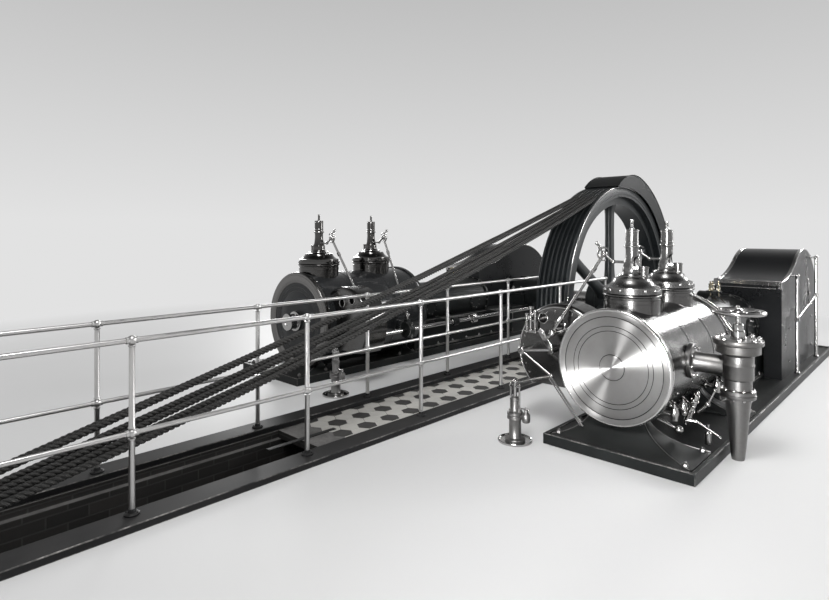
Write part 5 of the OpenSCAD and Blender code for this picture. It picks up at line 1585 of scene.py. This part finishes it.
@dataclass(frozen=True)
class DrainCocks:
    """The drain cocks low on the near cylinder: pipes, plugs, levers and the relief valve."""

    reach: float = 0.297
    drop: float = 0.29
    places: tuple[float, ...] = (-3.778, -3.599, -2.797)

    def build(self, shop: Workshop) -> None:
        """Builds its pieces."""
        cocks = Shells()
        reach, z = self.reach, SHAFT_Z - self.drop
        for y in self.places:
            base = NEAR.dist + reach
            cocks.rod((base - 0.05, y, z + 0.012), (base + 0.10, y, z - 0.010), 0.018)
            cocks.rod((base - 0.004, y, z + 0.006), (base + 0.012, y, z + 0.004), 0.034)
            cocks.lathe([(0.018, z - 0.052), (0.024, z - 0.046), (0.026, z - 0.02), (0.029, z - 0.008),
                         (0.029, z + 0.008), (0.026, z + 0.02), (0.024, z + 0.042), (0.012, z + 0.046),
                         (0.0095, z + 0.084)], (base + 0.09, y, 0), Axis.Z, 28)
            cocks.rod((base + 0.086, y, z + 0.078), (base + 0.178, y - 0.058, z + 0.040), 0.0065)
            cocks.ball((base + 0.178, y - 0.058, z + 0.040), 0.012)
        cocks.rod((2.226, -3.60, 1.50), (2.302, -3.60, 1.725), 0.021).ball((2.306, -3.60, 1.737), 0.016)
        for share in (0.12, 0.45, 0.8):
            at = np.array([2.226 + 0.076 * share, -3.60, 1.50 + 0.225 * share])
            cocks.rod(at - np.array([0.0026, 0, 0.0076]), at + np.array([0.0026, 0, 0.0076]), 0.028)
        cocks.rod((2.240, -3.615, 1.535), (2.300, -3.60, 1.533), 0.012)
        cocks.rod((2.300, -3.60, 1.533), (2.457, -3.62, 1.464), 0.0075).ball((2.457, -3.62, 1.464), 0.011)
        cocks.lathe([(0.012, 1.385), (0.022, 1.392), (0.022, 1.47), (0.016, 1.478), (0.010, 1.482),
                     (0.010, 1.53)], (2.374, -3.60, 0), Axis.Z, 24)
        cocks.rod((2.306, -3.60, 1.60), (2.372, -3.60, 1.672), 0.010).rod((2.372, -3.60, 1.672),
                                                                          (2.42, -3.60, 1.78), 0.008)
        cocks.ball((2.42, -3.60, 1.78), 0.014).ball((2.372, -3.60, 1.672), 0.018)
        cocks.rod((2.10, -3.80, 1.56), (2.235, -3.80, 1.515), 0.012).ball((2.245, -3.80, 1.512), 0.030)
        shop.piece("drain_cocks_turned", cocks, Paint.STEEL, "drain_cocks")


@dataclass(frozen=True)
class NearGear:
    """What the near gear case carries: hole rims, a bright tube along its rim as a painted highlight, oil
    pipes, lever, ball joint, pump drive and screws.
    """

    x: float = 1.315
    y: float = -3.80
    rise: float = 0.01

    def build(self, shop: Workshop) -> None:
        """Builds its pieces."""
        y, x, z = self.y, self.x, SHAFT_Z + self.rise
        gear = Shells()
        for hx, hz in EYE_HOLES:
            gear.hoop((x + hx, y, z + hz), EYE_R, 0.005, Axis.Y, 40)
        # bright steel tube along the upper rim of the case front: a painted highlight
        way = arc((0, 0), 0.372, 62, 228, 60)
        gear.tube(np.array([(x + a, y + 0.001, z + b) for a, b in way]), 0.006, (0, 1, 0), 8)
        for a in np.radians(np.linspace(70, 215, 12)):
            place = (x + 0.340 * math.cos(a), y, z + 0.340 * math.sin(a))
            gear.rod((place[0], y - 0.004, place[2]), (place[0], y + 0.004, place[2]), 0.008, 8)
        for dx, low, high in ((-0.062, 2.06, 2.20), (-0.024, 2.075, 2.26), (0.018, 2.06, 2.235)):
            px = 1.092 + dx
            gear.rod((px, y - 0.03, low), (px, y - 0.03, high), 0.0095)
            for at, radius in ((low, 0.018), ((low + high) / 2, 0.014), (high, 0.017)):
                gear.rod((px, y - 0.03, at - 0.009), (px, y - 0.03, at + 0.009), radius, 12)
            gear.rod((px, y - 0.03, low), (px, y + 0.01, low), 0.008)
        gear.rod((1.015, y - 0.03, 2.063), (1.125, y - 0.03, 2.063), 0.011)
        lever = np.array([(1.200, y - 0.115, 2.105), (1.236, y - 0.12, 2.075), (1.262, y - 0.12, 2.030),
                          (1.296, y - 0.12, 1.985), (1.318, y - 0.115, 1.945)])
        gear.sweep(lever, rounded_box(0.060, 0.022, 0.009), (0, 1, 0),
                   np.array([0.6, 0.9, 1.0, 0.85, 0.55]))
        gear.rod((1.318, y - 0.14, 1.945), (1.318, y + 0.02, 1.945), 0.019).rod((1.236, y - 0.14, 2.075),
                                                                                (1.236, y + 0.02, 2.075),
                                                                                0.016)
        gear.rod((1.262, y - 0.12, 2.030), (1.325, y - 0.13, 2.085), 0.011)
        gear.rod((1.046, y - 0.13, 1.918), (1.300, y - 0.12, 1.955), 0.013).ball((1.046, y - 0.13, 1.918),
                                                                                 0.036)
        gear.rod((1.046, y - 0.13, 1.918), (1.046, y + 0.02, 1.918), 0.022)
        gear.rod((1.046, y - 0.165, 1.918), (1.046, y - 0.10, 1.918), 0.020, 6)
        gear.rod((1.055, y - 0.14, 1.912), (1.330, y - 0.15, 1.757), 0.0085)
        gear.rod((1.210, -4.275, 1.745), (1.330, y - 0.15, 1.757), 0.011).ball((1.330, y - 0.15, 1.757),
                                                                               0.018)
        gear.ball((1.210, -4.275, 1.752), 0.020)
        gear.rod((1.330, y - 0.16, 1.757), (1.618, -3.985, 1.432), 0.0085)
        gear.rod((1.322, y - 0.17, 1.742), (1.598, -3.985, 1.432), 0.0055)
        shop.piece("valve_gear_near_bright", gear, Paint.STEEL)


@dataclass(frozen=True)
class FarGear:
    """The eccentric straps' bolts and rings beside the far cylinder, and its case's hole rims."""

    out: float = -0.625
    behind: float = 0.15
    rise: float = 0.01

    def build(self, shop: Workshop) -> None:
        """Builds its pieces."""
        e, gear = FAR, Shells()
        x, y, z = e.at(self.out, 0, 0)[0], e.front + self.behind, SHAFT_Z + self.rise
        for hx, hz in EYE_HOLES:
            gear.hoop((x - hx, y, z + hz), EYE_R, 0.005, Axis.Y, 40)
        for at in STRAPS:
            centre = e.at(-e.shaft_off, at, SHAFT_Z - SHAFT_DROP)
            for side in (-1, 1):
                gear.hoop((centre[0], at + side * 0.0355, centre[2]), 0.086, 0.004, Axis.Y, 48)
                px = centre[0] + side * 0.075
                gear.rod((px, at, centre[2] - 0.09), (px, at, centre[2] + 0.09), 0.010)
                gear.nuts(np.array([(px, at, centre[2] + 0.075)]), Axis.Z, 0.028, 0.016, 0.006)
        shop.piece("valve_gear_far_bright", gear, Paint.STEEL)


def clipped(
    corners: list[tuple[float, float]], across: int, limit: float, side: int
) -> list[tuple[float, float]]:
    """Cuts a convex outline off at a line across one of its two axes.

    Args:
        corners: The outline.
        across: The axis: 0 for X, 1 for Y.
        limit: Where the line lies.
        side: 1 where lesser values are kept, -1 where greater ones are.

    Returns:
        The part of the outline on the kept side.
    """
    kept = []
    for here, there in zip(corners, corners[1:] + corners[:1]):
        a, b = side * (limit - here[across]), side * (limit - there[across])
        if a >= 0:
            kept.append(here)
        if a * b < 0:
            share = a / (a - b)
            kept.append(tuple(p + share * (q - p) for p, q in zip(here, there)))
    return kept


@dataclass(frozen=True)
class RaceTiles:
    """The hexagonal tiles on the cover of the race, every third one dark, cut along its edges."""

    flats: float = 0.15
    joint: float = 0.004
    start: tuple[float, float] = (-0.10, -4.95)

    def build(self, shop: Workshop) -> None:
        """Builds its pieces."""
        flats, joint, start = self.flats, self.joint, self.start
        bounds = ((0, 0.313, 1), (0, -0.313, -1), (1, COVER_TO - 0.002, 1), (1, COVER_FROM + 0.045, -1))
        point = (flats - joint) / math.sqrt(3)
        tiles = {Paint.TILE: Shells(), Paint.DARK_TILE: Shells()}
        for b in range(-3, 60):
            for a in range(-40, 6):
                x, y = start[0] + flats * (a + b / 2), start[1] + flats * b * math.sqrt(3) / 2
                if abs(x) > 0.42 or abs(y) > 5.2:
                    continue
                outline = [(x + dx, y + dy) for dx, dy in ring(point, 6, math.pi / 2)]
                for across, limit, side in bounds:
                    outline = clipped(outline, across, limit, side)
                if len(outline) > 2:
                    paint = Paint.DARK_TILE if (a - b) % 3 == 0 else Paint.TILE
                    middle = np.mean(outline, axis=0)
                    tiles[paint].prism(np.array(outline) - middle, (*middle, FLOOR_Z - 0.004), Axis.Z,
                                       0.006, 0.001)
        shop.piece("race_tiles_pale", tiles[Paint.TILE], Paint.TILE)
        shop.piece("race_tiles_dark", tiles[Paint.DARK_TILE], Paint.DARK_TILE)
        angle = Shells().prism(rounded_box(0.045, 0.625, 0.003), (0, COVER_FROM + 0.0215, FLOOR_Z - 0.003),
                               Axis.Z, 0.008, 0.002)
        shop.piece("race_cover_angle", angle, Paint.KERB)


def castings(shop: Workshop) -> None:
    """Gives the cast and sheet pieces rounded edges."""
    shop.casting("foundation", Paint.STONE, 0.008)
    shop.casting("race_kerb_near", Paint.KERB, 0.006)
    shop.casting("race_kerb_far", Paint.KERB, 0.006)
    shop.casting("race_cover", Paint.STONE, 0.003)
    shop.casting("sheave_bearings", Paint.BED, 0.004)
    shop.casting("driven_sheave", Paint.WHEEL, 0.004, body="sheave")
    for e in (NEAR, FAR):
        for node, paint, edge in (
            ("bed_plate", Paint.BED, 0.006), ("cylinder_foot", Paint.BED, 0.004),
            ("bed_frame", Paint.BED, 0.008), ("guide", Paint.BED, 0.006),
            ("main_bearing", Paint.BED, 0.010), ("crank_hood", Paint.SHEET, 0.003),
            ("side_shaft_bearings", Paint.BED, 0.005), ("valve_gear_case", Paint.GEAR, 0.006),
        ):
            shop.casting(f"{node}_{e.name}", paint, edge, 3)


def camera() -> None:
    """Sets the camera at the photograph's place: level, 1.59 m above the engine-room floor."""
    focal_px, width_px, height_px = 568.0, 829.0, 600.0
    horizon_px = 232.6
    data = bpy.data.cameras.new("camera")
    data.sensor_width = 36.0
    data.lens = focal_px / width_px * data.sensor_width
    data.shift_y = (horizon_px - height_px / 2) / width_px
    data.clip_end = 200.0
    cam = bpy.data.objects.new("camera", data)
    cam.location = (3.64, -7.95, FLOOR_Z + 1.59)
    cam.rotation_euler = (math.radians(90), 0, math.radians(43.55))
    bpy.context.scene.collection.objects.link(cam)
    bpy.context.scene.camera = cam


def stage() -> None:
    """Lays a pale floor at the engine room's level, open above the wheel pit and the rope race."""
    reach, skin = 60.0, 0.0015
    inner = ((-0.36, -9.60), (0.36, -9.60), (0.36, 2.10), (-0.36, 2.10))
    outer = ((-reach, -reach), (reach, -reach), (reach, reach), (-reach, reach))
    points = [(x, y, FLOOR_Z + skin) for x, y in outer + inner]
    faces = [(i, (i + 1) % 4, 4 + (i + 1) % 4, 4 + i) for i in range(4)]
    mesh = bpy.data.meshes.new("floor")
    mesh.from_pydata(points, [], faces)
    floor = bpy.data.objects.new("floor", mesh)
    bpy.context.scene.collection.objects.link(floor)
    made, g, shader = material("pale_floor")
    shader.inputs["Base Color"].default_value = grey(0.66)
    shader.inputs["Roughness"].default_value = 0.6
    place = g.add("NewGeometry").outputs["Position"]
    away = g.add("VectorMath", {0: place, 1: (0.5, -4.0, 0.0)}, operation="DISTANCE").outputs["Value"]
    backdrop = g.add("Emission", {"Color": grey(BACKDROP)}).outputs[0]
    both = g.add("MixShader", {0: g.ramp(away, 3.4, 9.5), 1: shader.outputs[0], 2: backdrop})
    g.tree.links.new(both.outputs[0], g.tree.nodes["Material Output"].inputs[0])
    mesh.materials.append(made)


@dataclass(frozen=True)
class Lamp:
    """One soft area lamp, aimed at a point, with its beam's width in degrees."""

    name: str
    place: tuple[float, float, float]
    aim: tuple[float, float, float]
    size: tuple[float, float]
    watts: float
    beam: float = 180.0

    def build(self) -> None:
        """Puts the lamp into the scene."""
        data = bpy.data.lights.new(self.name, "AREA")
        data.shape = "RECTANGLE"
        data.size, data.size_y = self.size
        data.energy = self.watts
        data.spread = math.radians(self.beam)
        lamp = bpy.data.objects.new(self.name, data)
        lamp.location = self.place
        way = np.array(self.aim, float) - np.array(self.place, float)
        lamp.rotation_euler = (math.acos(-way[2] / np.linalg.norm(way)), 0,
                               math.atan2(way[1], way[0]) - math.pi / 2)
        bpy.context.scene.collection.objects.link(lamp)


LAMPS = (
    Lamp("window_left", (-9.0, 1.0, 5.2), (0.0, -2.6, 1.6), (2.4, 3.6), 190, 110),
    Lamp("window_back", (3.0, 8.6, 6.6), (1.6, -3.0, 2.0), (1.9, 2.0), 90, 80),
    Lamp("window_right", (8.0, 5.0, 5.0), (1.8, -2.6, 1.8), (2.6, 3.4), 140, 80),
    Lamp("ceiling", (2.0, -7.0, 8.5), (0.8, -3.0, 1.6), (2.0, 3.0), 330),
    Lamp("window_front", (4.3, -11.6, 2.6), (1.9, -4.0, 2.0), (1.4, 1.6), 34, 34),
)


def light() -> None:
    """Sets the lamps, a dim world that lights the shadows, and the backdrop seen past the engine.

    Seen by the camera, or in metal and glass, the world is the pale backdrop at the horizon and
    darkens towards the ceiling.
    """
    for lamp in LAMPS:
        lamp.build()
    world = bpy.data.worlds.new("studio")
    world.use_nodes = True
    world.node_tree.nodes.clear()
    g = Graph(world.node_tree)
    way = g.add("SeparateXYZ", {0: g.add("TexCoord").outputs["Generated"]}).outputs["Z"]
    lower = g.mix(g.ramp(way, 0.02, 0.42), grey(BACKDROP), grey(0.50))
    backdrop = g.mix(g.ramp(way, 0.42, 0.85), lower, grey(0.06))
    path = g.add("LightPath").outputs
    seen = g.math("MAXIMUM", path["Is Camera Ray"], g.math("MAXIMUM", path["Is Glossy Ray"],
                                                           path["Is Transmission Ray"]))
    shown = g.add("Background", {"Color": backdrop, "Strength": 1.0}).outputs[0]
    ambient = g.add("Background", {"Color": grey(0.34), "Strength": 1.0}).outputs[0]
    both = g.add("MixShader", {0: seen, 1: ambient, 2: shown})
    out = g.add("OutputWorld")
    world.node_tree.links.new(both.outputs[0], out.inputs[0])
    bpy.context.scene.world = world
    bpy.context.scene.view_settings.view_transform = "Standard"


def main() -> None:
    """Builds the engine's looks in order."""
    logging.basicConfig(level=logging.INFO, format="%(name)s: %(message)s")
    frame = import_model()
    camera()
    stage()
    light()
    shop = Workshop()
    castings(shop)
    assemblies = (NEAR, FAR, Railing(1), Railing(-1), PumpStand("pump_stand_near", 1.21, -4.28),
                  PumpStand("pump_stand_far", -0.75, -4.45), StopValve(), Handwheel(), Flywheel(),
                  Crankshaft(), Ropes(), WheelGuard(), HoodRail(), TailGland(), DrainCocks(), NearGear(),
                  FarGear(), RaceTiles(),)
    for assembly in assemblies:
        assembly.build(shop)
    slots = {part["node"]: part["material_slot"] for part in frame["record"]["subparts"]}
    for name, node in frame["nodes"].items():
        node.data.materials.clear()
        node.data.materials.append(shop.finishes[SLOT_PAINTS[slots[name]][0]])


if __name__ == "__main__":
    main()
